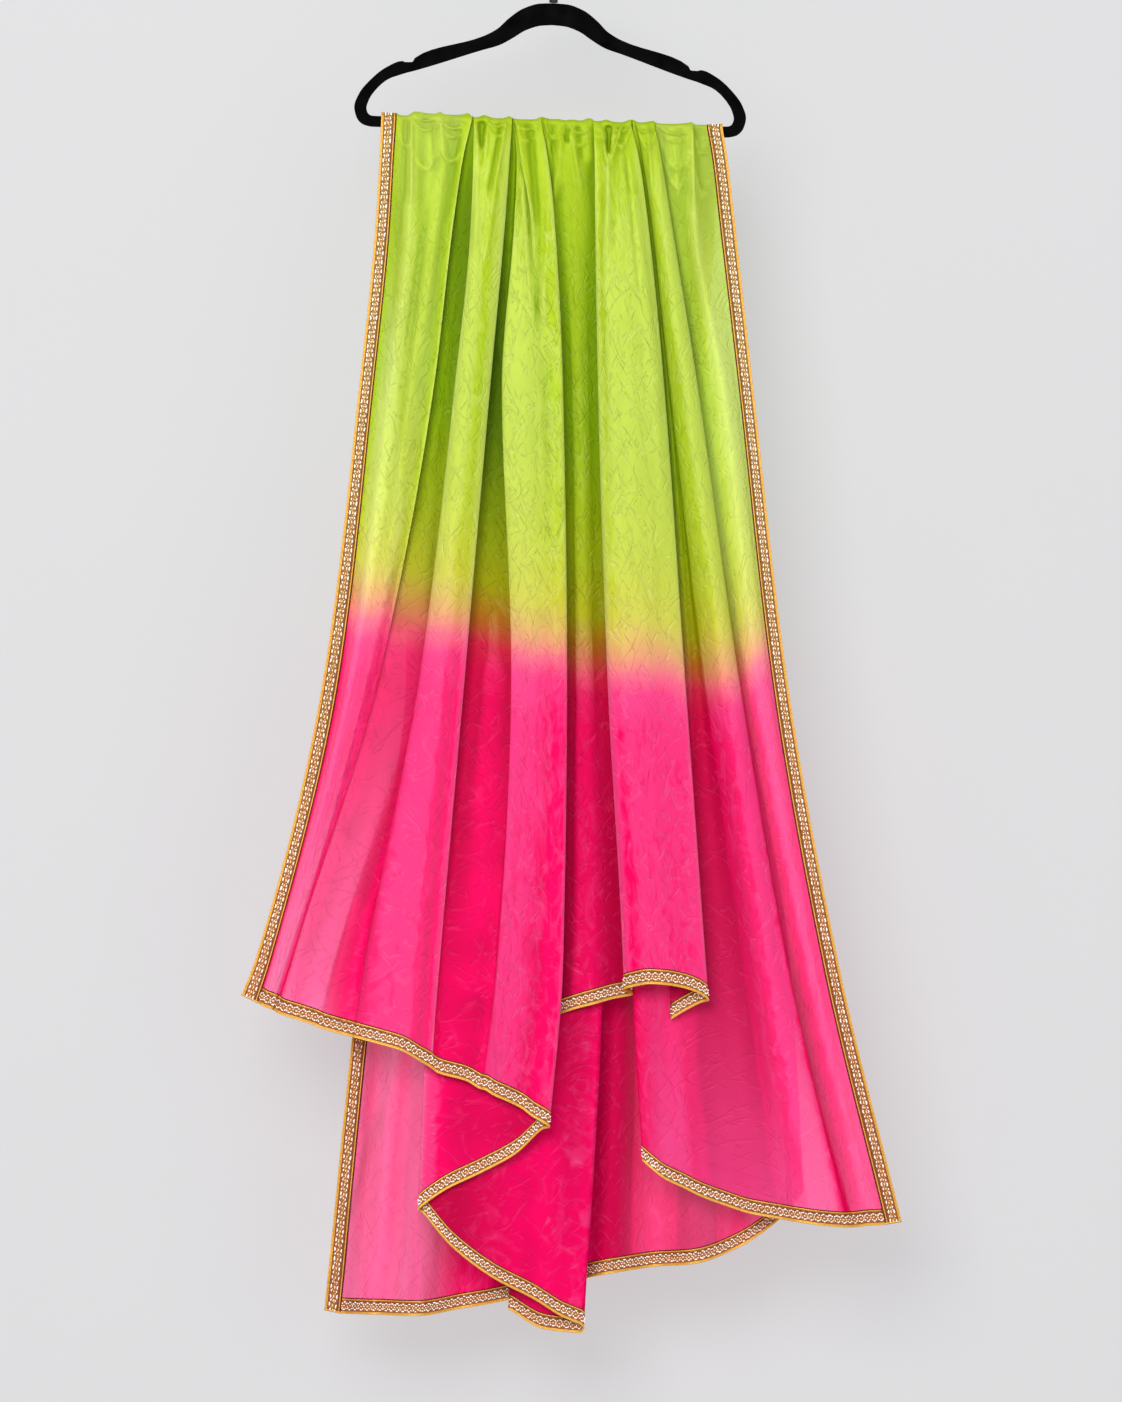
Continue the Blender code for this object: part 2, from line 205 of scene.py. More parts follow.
# Fold lines in order across each stretch, from the lace or from where it starts hidden.
FRONT_LEFT = [
    # the lace, three shallow tucks beside it and the first pleat
    ((-198, -200, -204, -223, -262, -341, -356), (4, 5, 6, 8, 14, 22, 24), 1208, 762),
    ((-181, -184, -188, -207, -244, -323, -338), (4, 5, 6, 8, 14, 22, 23), 1217, 764),
    ((-171, -174, -178, -197, -237, -319, -334), (4, 6, 7, 11, 16, 24, 25), 1219, 770, "open", "low"),
    ((-161, -165, -166, -187, -231, -316, -331),
     (6, 10, 13, 17, 21, 26, 27), 1221, 771, "shine", "low"),
    ((-147, -150, -153, -174, -222, -312, -327),
     (4.5, 8, 11, 17, 23, 27, 28), 1222, 773, "open", "low"),
    ((-130, -139, -142, -163, -213, -309, -325),
     (6.5, 10, 14, 21, 26, 28, 29), 1223, 774, "low", "low"),
    ((-114, -122, -129, -151, -206, -306, -322),
     (5, 8, 13, 20, 26, 28.5, 29), 1224, 771, "rich", "low"),
    ((-99, -109, -119, -142, -201, -303, -320),
     (6.5, 12, 16, 22, 28, 27, 26.5), 1225, 772, "rich", "faint"),
    ((-95, -105, -115.5, -138, -198, -300, -318), (7, 13, 17, 23, 27, 27, 26), 1226, 773, "fading"),
    ((-97, -108, -120, -146, -211, -300, -317.2), (5, 8, 11, 16, 20, 25, 25.5), 1227, 774, "rich"),
    # the see-through stretch, and the band between it and the second pleat
    ((-96, -107, -119, -143, -206, -295, -312),
     (4, 5, 6, 11, 21, 24.5, 24.8), 1230, 775, "veil", "left"),
    ((-95, -103, -111, -130, -184, -275, -293), (4, 5, 6, 10, 20, 23, 23.8), 1236, 786, "veil", "left"),
    ((-94.4, -99, -107, -124, -158, -253, -272), (4, 5, 6, 9, 20, 24, 25), 1243, 787, "veil", "left"),
    ((-94.2, -98, -105, -122, -154, -249, -268), (4, 5, 6, 9, 20, 25, 26), 1245, 787, "gap", "late"),
    ((-93.5, -92.5, -92.5, -108, -144, -218, -231), (4, 5, 6, 11, 24, 36, 37.5), 1255, 787, "gap"),
    # the second pleat, its return and the pit behind it
    ((-93, -93.5, -96, -114.5, -153, -215, -227),
     (7, 14, 20, 31, 37, 39, 40), 1256, 787, "fading", "faint"),
    ((-83, -85, -92, -108, -144, -190, -200),
     (6.5, 15, 23, 36, 43, 45, 45), 1263, 787, "shine", "faint"),
    ((-72, -74, -82, -98, -131, -165, -173),
     (7.5, 18, 25, 38, 46, 48, 48), 1271, 787, "shine", "faint"),
    ((-60, -63, -71, -86, -115, -147, -154), (7, 17, 24, 37, 43.5, 45, 44), 1282, 790, "low", "faint"),
    ((-49.5, -52, -57, -74, -102, -131, -141), (7, 14, 19, 31, 38, 40, 39), 1290, 793, "edge"),
    ((-50.5, -55, -63, -82, -112, -134, -138.5), (5, 7, 9, 16, 27, 37, 38.5), 1292, 795, "pit"),
    ((-49.2, -50, -55, -70, -94, -124, -133), (4.2, 5, 6, 10, 20, 35, 38), 1296, 797, "pit"),
    ((-48.7, -47, -50, -63, -76, -92, -101), (4.5, 6, 8, 9.5, 24, 36, 37.5), 1305, 800, "pit"),
    ((-48.3, -45, -46, -57, -48, -68, -85), (4.3, 5, 7, 11, 27, 37, 39), 1314, 806, "pit"),
    # the third pleat, with a lobe on its left lower down
    ((-48, -44, -47, -61, -50.5, -65, -80), (4.8, 7, 11, 27, 38, 42, 42), 1315, 809, "shine", "faint"),
    ((-47.7, -42, -40, -46, -37, -53, -70), (4.8, 7, 12, 31, 42, 45, 45), 1321, 813, "shine", "faint"),
    ((-47.3, -38, -31, -28, -24, -40, -56), (4.3, 6.5, 13, 32, 43.5, 46.5, 46.5), 1327, 815, "shine"),
    ((-46.5, -40, -27, -12, -8, -22, -38), (7, 13, 19, 32, 44, 47, 47), 1336, 817, "shine"),
    ((-33, -26, -15, -1, 0, -9, -26), (6, 12, 19, 34, 46, 49, 49), 1345, 822),
    ((-21, -14, -6, 6, 9, 4, -12), (6, 13, 20, 34, 45.5, 50, 50), 1353, 820),
    ((-16, -8.5, -1, 8.5, 13, 8.5, -7), (6, 12, 18, 31, 43, 48, 48), 1357, 823, "edge"),
    ((-16.3, -11.5, -5, 3, 6, 1, -14), (5, 9, 13, 25, 37, 42.5, 43), 1359, 825, "under"),
    # layers under the third pleat, as far as the cascade's left edge
    ((-15.9, -13.2, -8.5, -4, -8, -30, -46), (4.6, 7, 9.5, 18, 30, 35, 35), 1388, 828, "low"),
    ((-15.6, -12.5, -7.5, -12, -28, -75, -86), (4.5, 6, 7.5, 13, 24, 30, 30), 1410, 830),
    ((-15.3, -12.6, -10, -17, -40, -115, -127), (4.4, 5, 6, 10, 19, 27.5, 28), 1430, 832),
    ((-15, -12.8, -12, -20, -46, -142, -156), (4.3, 4.7, 5, 8, 15, 26, 27), 1452, 834, "edge"),
    # the cascade, and the cloth tucked behind its right edge
    ((-14.8, -12.4, -11, -18, -41, -137, -152), (4.2, 4.4, 4.6, 6.5, 12, 21, 22), 1454, 834, "rich"),
    ((-14.6, -11.6, -9.4, -14, -30, -105, -119), (4.2, 4.3, 4.5, 6, 11, 20, 21), 1492, 836, "recess"),
    ((-14.4, -11, -8, -8, -12, -58, -72), (4.1, 4.3, 4.5, 5.6, 10, 21, 22), 1528, 838, "rich"),
    ((-14.2, -10.2, -7, 1, 10, -8, -23), (4.1, 4.2, 4.4, 5.2, 9, 18, 19), 1554, 840),
    ((-14, -9.4, -6, 5, 28, 25, 7), (4.1, 4.1, 4.3, 5, 8.5, 16.5, 18), 1573, 840, "nook"),
    ((-13.8, -8.9, -5.5, 7, 41, 53, 32), (4, 4, 4.2, 4.8, 8, 15, 16), 1585, 840, "fading"),
    ((-13.6, -8.5, -5.2, 6, 38, 48, 27), (4, 4, 4, 4.4, 6, 10, 10.5), 1592, 840, "rich"),
    ((-13.4, -8.3, -5, 2, 14, 10, -12), (4, 4, 4, 4, 5, 7, 7.5), 1588, 840, "rich"),
    ((-13.2, -8.1, -4.8, -3, -12, -35, -54), (3.9, 3.9, 3.9, 3.9, 4, 4.6, 5), 1565, 840, "rich"),
]
FRONT_CENTRE = [
    # the recess beside the cascade, with a lobe and a ridge
    ((-13, -8, -4, 1, -1, -7, -14), (4.2, 5.2, 7, 12, 19, 22, 23), 1234, 828, "recess"),
    ((-8, -2, 5, 14, 18, 13, 7), (4.4, 5.5, 6.5, 9, 15, 21, 22), 1229, 831, "recess"),
    ((2, 9, 15, 20, 24, 26, 23), (6, 8, 8.5, 11, 17, 23, 23), 1224, 832, "shade"),
    ((13, 17, 22, 28, 35, 41, 42), (6, 8, 9, 13, 18.5, 24, 26), 1219, 833, "shade"),
    ((28, 32, 36, 41, 50, 63, 64), (6, 7, 7, 9, 15, 20, 21), 1213, 834, "recess"),
    ((42, 46, 47.5, 53, 66, 85, 87), (4.5, 5, 6, 8, 13, 16, 17), 1208, 834, "recess"),
    # the fourth pleat
    ((43, 44, 44.6, 47.7, 58, 76, 77), (7, 14, 19, 28, 35, 38, 38), 1202, 833, "edge"),
    ((50, 50, 50, 54, 67, 88, 89), (6.5, 15, 22, 33, 42, 45, 45), 1198, 833),
    ((58, 57.5, 58.5, 67, 85, 105, 107), (7.5, 17, 24, 37, 46, 49, 50), 1195, 834, "shine"),
    ((68, 70, 74, 88, 102, 122, 124), (6.5, 15, 23, 36.5, 46, 49, 49.5), 1196, 835, "shine"),
    ((77, 80, 90, 108, 122, 144, 146), (6, 13, 21, 35, 44, 47.5, 48), 1200, 838, "shine"),
    ((83, 89, 99, 118, 138, 161, 164), (6, 12, 18, 32.5, 41.5, 44.5, 45), 1207, 843, "shine"),
    ((86, 94.8, 104.5, 123, 145.8, 169.7, 173), (6, 11, 16, 29, 38, 41.5, 42), 1214, 846, "edge"),
    # the cloth turned under it
    ((85.8, 92.5, 100.5, 117, 139, 163, 166), (5, 8.5, 12, 23, 32, 36, 37), 1216, 847, "under"),
    ((86, 92, 98, 111, 128, 145, 148), (4.6, 6.5, 9, 18, 27, 30, 31), 1225, 848, "under"),
    ((86.5, 91.6, 97, 106, 116, 128, 130), (4.2, 5, 7, 13, 21, 25, 26), 1236, 849, "under"),
]
FRONT_RIGHT = [
    # the start behind the fourth pleat, and the fifth pleat
    ((87.5, 93, 99, 113, 115, 114, 119), (4, 4, 4.5, 5, 5.5, 5, 5), 1401, 850, "under"),
    ((87, 92, 97, 96, 92, 87, 98), (4.2, 4.4, 5, 7, 9, 13, 15), 1396, 850, "fading"),
    ((88, 94, 100, 109, 111, 112, 124), (4.4, 5, 6, 9.5, 14, 20, 22), 1417, 848, "low", "lower"),
    ((88.5, 95, 102, 115, 124, 129, 145), (4.3, 4.8, 5.5, 8.5, 13, 19, 20), 1427, 847, "open", "lower"),
    # the valley between the fifth and sixth pleats
    ((89, 96, 104, 122, 141, 143, 165), (4.3, 5, 6, 12, 17, 19, 19), 1437, 851, "rich", "late"),
    ((90, 97, 106, 127, 152, 172, 197), (4.3, 6, 8, 15, 19, 17, 14), 1449, 851, "dim", "hem"),
    ((91, 98, 108, 130, 160, 190, 222), (4.3, 6, 8, 14, 18, 17, 14), 1457, 852, "dim", "hem"),
    # the sixth pleat
    ((91.5, 98.6, 108.5, 129, 167, 210, 254), (5, 9, 13, 21, 24, 24, 24), 1462, 851, "low", "hem"),
    ((97, 105, 114, 138, 181, 226, 276), (7.5, 14, 19, 29, 34, 35, 35), 1465, 850, "low", "late"),
    ((102, 111, 120, 147, 194, 243, 298), (8, 15, 20, 32, 37, 38, 39), 1468, 850, "shine", "late"),
    ((109, 117, 127, 156, 201, 253, 318), (7, 14, 18.5, 30, 35, 36, 36), 1470, 848, "shine", "late"),
    ((112.7, 120, 131, 161, 206, 262, 331), (6.5, 12, 15, 26, 31, 33, 32), 1471, 846, "fading"),
    ((111.5, 117, 125, 152, 194, 255, 336), (5, 7, 9, 14, 18, 25, 28.5), 1471, 844, "shade"),
    # the panel beside the lace, and the lace
    ((114, 122, 133, 162, 209, 267, 341), (4.3, 5, 6, 9, 12, 18, 25), 1471, 842, "low", "thin"),
    ((135, 139, 146, 177, 218, 276, 349.5), (5.5, 7, 8, 12, 15, 18, 22), 1470, 836, "open", "thin"),
    ((155, 156, 158, 190, 228, 288, 361), (6.5, 11, 14, 17, 19, 20, 21), 1469, 824, "shine", "panel"),
    ((158, 162, 168, 200, 237, 296, 368), (4.2, 6, 8, 12, 16, 19.5, 20.5), 1469, 820, "open", "panel"),
    ((172, 178, 186, 208, 244, 302, 374), (4, 4.5, 5, 7.5, 12, 18.5, 20), 1468, 817, "open", "panel"),
    ((189.5, 195, 203, 224, 261, 320, 392), (4, 4.5, 5, 7.5, 12, 18.5, 20), 1465, 815),
]
BACK = [
    # the lace
    ((-198, -195, -191, -180, -170, -221, -263), (-4, -4, -4, -5, -6, -8, -8), 1567, 800),
    ((-181, -178, -174, -163, -153, -204, -245),
     (-4, -4, -4, -5, -7, -9, -9), 1571, 800, "open", "back"),
    # broad pleats: crests and the hollows between them by turns
    ((-162, -159, -156, -146, -135, -187, -226),
     (-5, -8, -12, -17, -18, -19, -20), 1573, 800, "open", "back"),
    ((-142, -140, -138, -130, -118, -171, -208),
     (-6, -10, -15, -20, -23, -26, -26), 1574, 800, "open", "back"),
    ((-106, -105, -104, -97, -83, -131, -160),
     (-4, -4, -4.5, -5.5, -6, -7, -7), 1574, 802, "open", "back"),
    ((-66, -66, -66, -62, -49, -82, -106), (-6.5, -11, -16, -22, -27, -30, -30), 1567, 805, "rich"),
    ((-26, -27, -28, -24, -14, -29, -46), (-4, -4, -4.5, -5.5, -6, -8, -8), 1554, 808, "shade"),
    ((12, 11, 10, 12, 21, 23, 12), (-6, -10, -14, -20, -25, -28, -28), 1538, 810, "under"),
    ((50, 48, 47, 47, 54, 71, 62), (-4, -4, -4.5, -5.5, -7, -9, -9), 1526, 812, "under"),
    ((88, 85, 83, 81, 87, 119, 110), (-6.5, -11, -17, -23, -28, -32, -32), 1520, 812, "under", "faint"),
    ((123, 120, 117, 113, 121, 164, 158),
     (-4, -4, -4.5, -6, -8, -10, -10), 1515, 812, "under", "faint"),
    ((150, 147, 144, 137, 158, 212, 207),
     (-5, -8, -12, -17, -22, -24, -24), 1498, 812, "rich", "faint"),
    # the lace
    ((172, 168, 164, 153, 193, 249, 264), (-4, -4, -4, -5, -7, -10, -10), 1455, 812, "open", "lower"),
    ((189.5, 186, 182, 171, 210, 266, 282), (-4, -4, -4, -5, -6, -9, -9), 1432, 812),
]

# The gathers along the bar: how high the cloth stands above its top at places across.
CREST = [
    (-198, 3.8), (-181, 3.8), (-176, 1.6), (-168, 1.6), (-163, 5.0), (-160, 6.4), (-155, 6.4),
    (-148, 5.0), (-137, 4.6), (-131, 6.8), (-128, 5.4), (-125, 4.2), (-115, 4.0), (-105, 4.8),
    (-100, 6.2), (-98, 6.0), (-94, 1.9), (-88, 2.3), (-81, 4.8), (-78, 4.3), (-74, 2.4),
    (-66, 1.6), (-60, 1.9), (-52, 4.4), (-50, 3.0), (-46, 1.6), (-38, 1.3), (-25, 1.6),
    (-20, 3.0), (-17, 4.8), (-12, 3.8), (-5, 2.6), (3, 2.8), (8, 2.2), (11, 1.1), (14, 2.4),
    (20, 2.6), (28, 1.8), (38, 4.8), (41, 4.4), (43.5, 2.4), (46, 1.8), (54, 2.8), (57, 3.8),
    (60, 3.4), (65, 1.8), (75, 1.3), (84, 4.5), (87, 4.8), (94, 1.8), (100, 2.1), (111, 4.0),
    (116, 1.4), (125, 1.2), (135, 1.5), (145, 2.3), (155, 3.9), (158, 1.3), (170, 1.4),
    (176, 1.7), (181, 2.6), (189.5, 2.6),
]  # fmt: skip

# A hollow (or, where depth is negative, a ridge) along a line down one stretch of cloth.
# wide is half its width. Places are across and down from the hook.
Dent = namedtuple("Dent", "x1 down1 wide1 x2 down2 wide2 depth")
DENTS = {
    "front_left": [
        (-163.5, 211, 2.5, -163, 310, 4, -2.2), (-170, 214, 4, -171, 310, 6, 1.5),
        (-131, 210, 3, -125, 262, 5, -2.4), (-125, 262, 5, -150, 470, 9, -1.8),
        (-138, 214, 4, -136, 270, 6, 2), (-136, 270, 6, -168, 470, 9, 1.5),
        (-110, 222, 5, -120, 330, 8, 1.6), (-84, 213, 6.5, -84, 246, 2.5, 6),
        (-92, 214, 2.2, -88, 262, 3.5, -2), (-76, 214, 2.5, -81, 262, 4, -2.2),
        (-55, 212, 2.5, -66, 278, 4.5, -3), (-66, 278, 4.5, -80, 380, 6, -2.2),
        (-62, 222, 3, -76, 300, 5, 2.2), (-88, 270, 4, -92, 360, 6, -1.8),
        (-44, 214, 3, -37, 262, 5, -2.2), (-29, 222, 6, -22, 330, 6, 2.6),
        (-22, 330, 6, -20, 450, 4, 1.5), (-38, 290, 5, -27, 440, 5, -2),
        (-9, 320, 4, -14, 440, 5, -1.6), (-285, 1235, 5, -232, 1080, 4, -2.5),
        (-262, 1240, 5, -224, 1090, 4, -2.5), (-243, 1248, 5, -217, 1110, 4, -2),
    ],
    "front_centre": [
        (13, 216, 2.4, 12.5, 241, 2, 5), (6, 238, 3.5, -1, 300, 6, -2.6),
        (19.5, 238, 3.5, 30, 300, 7, -2.6), (25, 219, 3, 27, 262, 4, 2), (0, 218, 3, -3, 252, 4, 2),
        (36, 219, 3, 38, 262, 4, -2), (60, 213, 8, 60, 252, 2.5, 6.5),
        (50, 216, 2.5, 57, 262, 3.5, -2.4), (76, 219, 3, 63, 262, 4, -2.8),
        (60, 262, 4, 58, 360, 8, -2), (80, 262, 4, 94, 400, 5, 1.4),
    ],
    "front_right": [
        (104, 214, 3, 109, 300, 5, -1.8), (118, 216, 3, 125, 300, 5, 1.6),
        (133, 214, 3, 138, 300, 5, -2.2), (145, 216, 4, 148, 300, 6, 2),
        (155.5, 211, 2.4, 156.5, 310, 4, -2.2), (163, 216, 4, 167, 300, 6, 1.2),
    ],
    "back": [
        (-142, 216, 4, -140, 330, 8, -2.4), (-106, 216, 5, -105, 360, 9, 2.2),
        (-86, 216, 4, -90, 300, 7, -1.8), (-66, 218, 4, -66, 330, 8, -2.4),
        (-26, 219, 5, -28, 380, 9, 2.2), (-6, 219, 4, -2, 310, 7, -1.8),
        (12, 220, 4, 10, 330, 8, -2.4), (50, 221, 5, 47, 360, 9, 2.2),
        (88, 222, 4, 83, 330, 8, -2.4), (123, 223, 5, 117, 380, 9, 2.2),
        (136, 224, 4, 134, 300, 7, -1.8), (-268, 1560, 7, -205, 1340, 13, 4),
        (-150, 1574, 10, -165, 1400, 12, 2.5),
    ],
}

# A soft loop of slack between two gathers: a ridge from x1 to x2 that sags below its ends.
Swag = namedtuple("Swag", "x1 x2 down sag wide rise")
SWAGS = {
    "front_left": [
        (-163, -132, 213, 15, 2.6, 2.6), (-160, -134, 209, 8, 2.2, 2.0),
        (-130, -100, 213, 13, 2.6, 2.7), (-129, -104, 220, 16, 3, 2.3),
        (-134, -104, 240, 23, 4, 2.6), (-160, -134, 250, 22, 5, 2.0), (-176, -163, 232, 14, 4, 2.0),
        (-79, -54, 214, 10, 2.4, 2.7), (-78, -55, 218, 17, 3, 2.3), (-46, -20, 216, 11, 2.6, 2.9),
        (-46, -19, 219, 21, 3.4, 2.6), (-94, -79, 215, 31, 2.2, 2.0),
    ],
    "front_centre": [
        (-12, 10, 218, 20, 3, 2.7), (13, 42, 219, 12, 2.6, 2.7), (15, 41, 221, 24, 3.2, 2.3),
        (47, 60, 220, 21, 2.4, 2.3), (47, 64, 223, 50, 3.4, 2.3), (62, 86, 220, 9, 2.6, 2.3),
        (64, 86, 224, 22, 4, 1.8),
    ],
    "front_right": [
        (90, 113, 220, 10, 2.6, 2.3), (92, 116, 224, 24, 4, 1.8), (116, 155, 221, 11, 2.6, 2.6),
        (118, 154, 226, 15, 3, 2.0), (120, 155, 240, 32, 5, 2.6), (122, 155, 256, 38, 5, 2.0),
        (157, 176, 228, 26, 4, 2.2), (157, 182, 262, 40, 5, 2.2),
    ],
    "back": [
        (-176, -142, 214, 22, 4, 2.7), (-142, -106, 216, 14, 3.4, 2.7),
        (-104, -66, 217, 24, 4, 2.7), (-66, -27, 218, 13, 3.4, 2.7), (-25, 12, 219, 26, 4, 2.7),
        (12, 50, 221, 15, 3.4, 2.7), (52, 88, 222, 24, 4, 2.7), (88, 123, 223, 14, 3.4, 2.7),
        (124, 152, 225, 25, 4, 2.7),
    ],
}

# Rows and columns of the fine cloth.
ARC_DEGREES = (90, 72, 54, 36, 18)  # rows over the bar
FALL_ROWS = 250
FALL_CROWDING = 1.7  # above 1, rows lie closer near the bar
COLUMN_GAP = {"front_left": 1.8, "front_centre": 1.9, "front_right": 2.1, "back": 3.2}
COLUMN_LIMITS = (3, 14)
LACE_COLUMNS = 6
CHORD_FLOOR = 0.05  # keeps columns apart where fold lines meet

DENT_FADE = 0.12  # the share of a dent's length over which each of its ends fades
DENT_REACH = 2.5  # how many half widths past its ends a dent is gone
DENT_BELOW = 4.0  # dents grow to their depth over this distance below the bar

# Small soft waves in the cloth: noise with features so wide and long, started at a place
# of its own, and how far it stands out. They start at the first of WAVES_GROW and are
# whole from the second, and grow with the cloth's distance from the hanger's plane, from
# the share WAVES_LEAST to all of it at WAVES_FREE.
Wave = namedtuple("Wave", "wide long start_u start_v seed rise")
WAVES = [
    (31, 420, 8, 4, 14, 2.2),
    (14, 260, 5, 9, 11, 0.5),
    (7, 120, 2, 3, 12, 0.25),
    (22, 34, 1, 7, 13, 0.5),
]
WAVES_GROW = (215, 305)
WAVES_LEAST, WAVES_FREE = 0.3, 16

# Painted light and shade in the folds: how far the cloth stands out from its mean over a window
# of rows and columns, the distance that counts as far, and the share of this in the whole.
Relief = namedtuple("Relief", "window far share")
RELIEFS = [((3, 4), 0.9, 0.8), ((4, 11), 6, 0.6)]

CLEAR_OF_BAR = 3.7  # the least distance from the hanger's plane, beside the bar
CLEAR_BELOW = 1.0  # and from BAR_PASSED downwards
BAR_PASSED = 233
# The gathers' light and shade is painted: it is made stronger under the bar and fades out between these places.
GATHERS = (260, 370)  # the gathers' stronger light and shade fades out between these places
GATHERS_EXTRA = 0.6

DYE_SPREAD = 520.0  # the length of cloth that the colour ramps cover

# ---------------------------------------------------------------- the lace, in millimetres
BAND_HALF = 0.45  # half the woven ground's thickness
BAND_SHARES = (0.02, 0.22, 0.5, 0.76, 1.03)  # its points across
BAND_STEP = 3.5  # and along
HEM_EDGE_LIFT = 1.3  # the edge cord stands this far above the hem's edge
CORD_PITCH = 5.2  # one turn of a twisted cord
CORD_MARGIN = 0.5  # the other cords stop this far from the strip's ends

# Places across the lace run from its outer edge (0) to its inner edge (1). The first cord
# follows the cloth's very edge at a hem.
Cord = namedtuple("Cord", "across radius sides step twist")
SIDE_CORDS = [
    (0.05, 0.95, 8, 1.3, 0.03),
    (0.13, 0.75, 6, 1.8, 0.03),
    (0.80, 0.45, 6, 2.5, 0.0),
    (0.90, 0.75, 6, 1.8, 0.03),
]
HEM_CORDS = [
    (0.05, 1.0, 8, 1.3, 0.03),
    (0.15, 0.8, 6, 1.8, 0.03),
    (0.85, 0.45, 6, 2.5, 0.0),
    (0.93, 0.75, 6, 2.5, 0.0),
]
# One repeat of the beads. along is a share of the repeat, turn is in degrees, and bow is
# how far a bead's ends bend towards the lace's middle line. peach is its tint.
Bead = namedtuple("Bead", "along across long wide high turn bow peach")
SIDE_REPEAT = 10.6
SIDE_BEADS = [
    (0.26, 0.30, 4.8, 1.9, 1.3, 0, 0.7, 0.0),
    (0.34, 0.67, 4.8, 1.9, 1.3, 0, -0.7, 0.05),
    (0.74, 0.33, 2.7, 1.7, 1.2, 12, 0.0, 0.1),
    (0.80, 0.64, 2.7, 1.7, 1.2, -12, 0.0, 0.15),
    (0.30, 0.49, 3.8, 2.0, 0.9, 0, 0.0, 0.9),
    (0.76, 0.49, 2.4, 1.9, 0.9, 0, 0.0, 0.75),
    (0.52, 0.40, 1.3, 1.3, 1.0, 0, 0.0, 0.6),
    (0.98, 0.57, 1.3, 1.3, 1.0, 0, 0.0, 0.6),
]
HEM_REPEAT = 7.6
HEM_BEADS = [
    (0.50, 0.30, 3.1, 1.7, 1.3, 0, 0.3, 0.0),
    (0.50, 0.74, 3.1, 1.7, 1.3, 0, -0.3, 0.0),
    (0.17, 0.38, 2.3, 1.5, 1.2, -50, 0.0, 0.05),
    (0.17, 0.66, 2.3, 1.5, 1.2, 50, 0.0, 0.05),
    (0.83, 0.38, 2.3, 1.5, 1.2, 50, 0.0, 0.05),
    (0.83, 0.66, 2.3, 1.5, 1.2, -50, 0.0, 0.05),
    (0.50, 0.52, 2.6, 2.2, 0.9, 0, 0.0, 0.9),
    (0.00, 0.52, 1.7, 1.7, 1.1, 0, 0.0, 0.2),
]
BEAD_RINGS, BEAD_SIDES = 5, 7
BEAD_FULLNESS = 0.7  # below 1, a bead's ends are blunter than a ball's
BEAD_SEED = 40
# How much the beads vary: their places along and across, in degrees, in size and in bow.
VARY_ALONG, VARY_ACROSS, VARY_TURN, VARY_SIZE, VARY_BOW = 0.2, 0.012, 5, 0.08, 0.25

# ---------------------------------------------------------------- the hanger, in millimetres
# Its outline on the right half, from the neck down: an outer and an inner point, each
# across and up.
STATIONS = [
    (0, -83, 0, -108), (15, -83.8, 13, -109), (34, -90, 30, -114.5), (50, -101.5, 45, -124),
    (63, -114, 60, -132.5), (78, -122.5, 80, -139), (155, -149.5, 152, -163.5),
    (158.5, -154.5, 158, -165.3), (166, -154.8, 166, -167.6), (169.5, -153.8, 170, -169),
    (187, -161, 184, -174.5), (205, -176, 197, -185.5), (218, -193, 206, -199),
    (222.5, -207, 208.5, -208), (219.5, -219.5, 207, -213.5), (211, -227.5, 203, -216.6),
    (200, -229.5, 197, -217), (0, -229.5, 0, -217),
]
STATION_STEPS = 7
FRAME_SIDES = 20
FRAME_HALF = 2.5
FRAME_ROUND = 2.2
# The collar's heights and radii, the wire's way up from it, across and up, and its bend.
COLLAR = [(-82.6, 4), (-82.4, 4.6), (-81.8, 5), (-73.1, 5), (-71.6, 4.4), (-70.9, 3.4)]
HOOK_NECK = [(0, -70.6), (0, -65.6), (-2.5, -59.6), (-8.5, -52.6)]
HOOK_WIRE = 2.0
HOOK_INSIDE = 20.0
HOOK_DEGREES = (205, -35)
HOOK_BENDS, HOOK_POINTS, HOOK_SIDES = 21, 90, 16
HOOK_TIP = 0.7  # the tip's share of the wire's radius

# ---------------------------------------------------------------- colours and light
# Dye along the cloth's fall, as a place and an sRGB colour: cloth in the open; the same dye
# darkened as painted shade; and a paler colour where the cloth is see-through, which also stands
# in for the bright wall behind it, that serves as well for the painted highlight where it catches the light.
DENSE = [
    (0.00, 170, 196, 38),
    (0.25, 180, 199, 40),
    (0.31, 186, 199, 40),
    (0.385, 196, 196, 38),
    (0.44, 210, 184, 80),
    (0.485, 230, 152, 112),
    (0.52, 244, 108, 132),
    (0.56, 248, 46, 120),
    (0.64, 246, 0, 98),
]
SHADED = [
    (0.00, 120, 153, 0),
    (0.25, 136, 152, 0),
    (0.40, 142, 142, 0),
    (0.47, 160, 90, 20),
    (0.52, 190, 28, 60),
    (0.575, 190, 0, 62),
    (0.70, 188, 0, 66),
]
VEILED_AND_LIT = [
    (0.00, 197, 215, 102),
    (0.25, 202, 214, 100),
    (0.40, 208, 209, 104),
    (0.47, 222, 172, 120),
    (0.52, 238, 112, 142),
    (0.57, 240, 84, 150),
    (0.675, 238, 76, 147),
]
# Painted shade: the colour that darkens the deepest pits.
PIT_SHADE = (0.35, 0.42, 0.4, 1)  # darkens the deepest pits
# Painted highlight: the pale colour of the folds' bright edges.
EDGE_HIGHLIGHT = (1, 1, 0.9, 1)  # lightens the edges

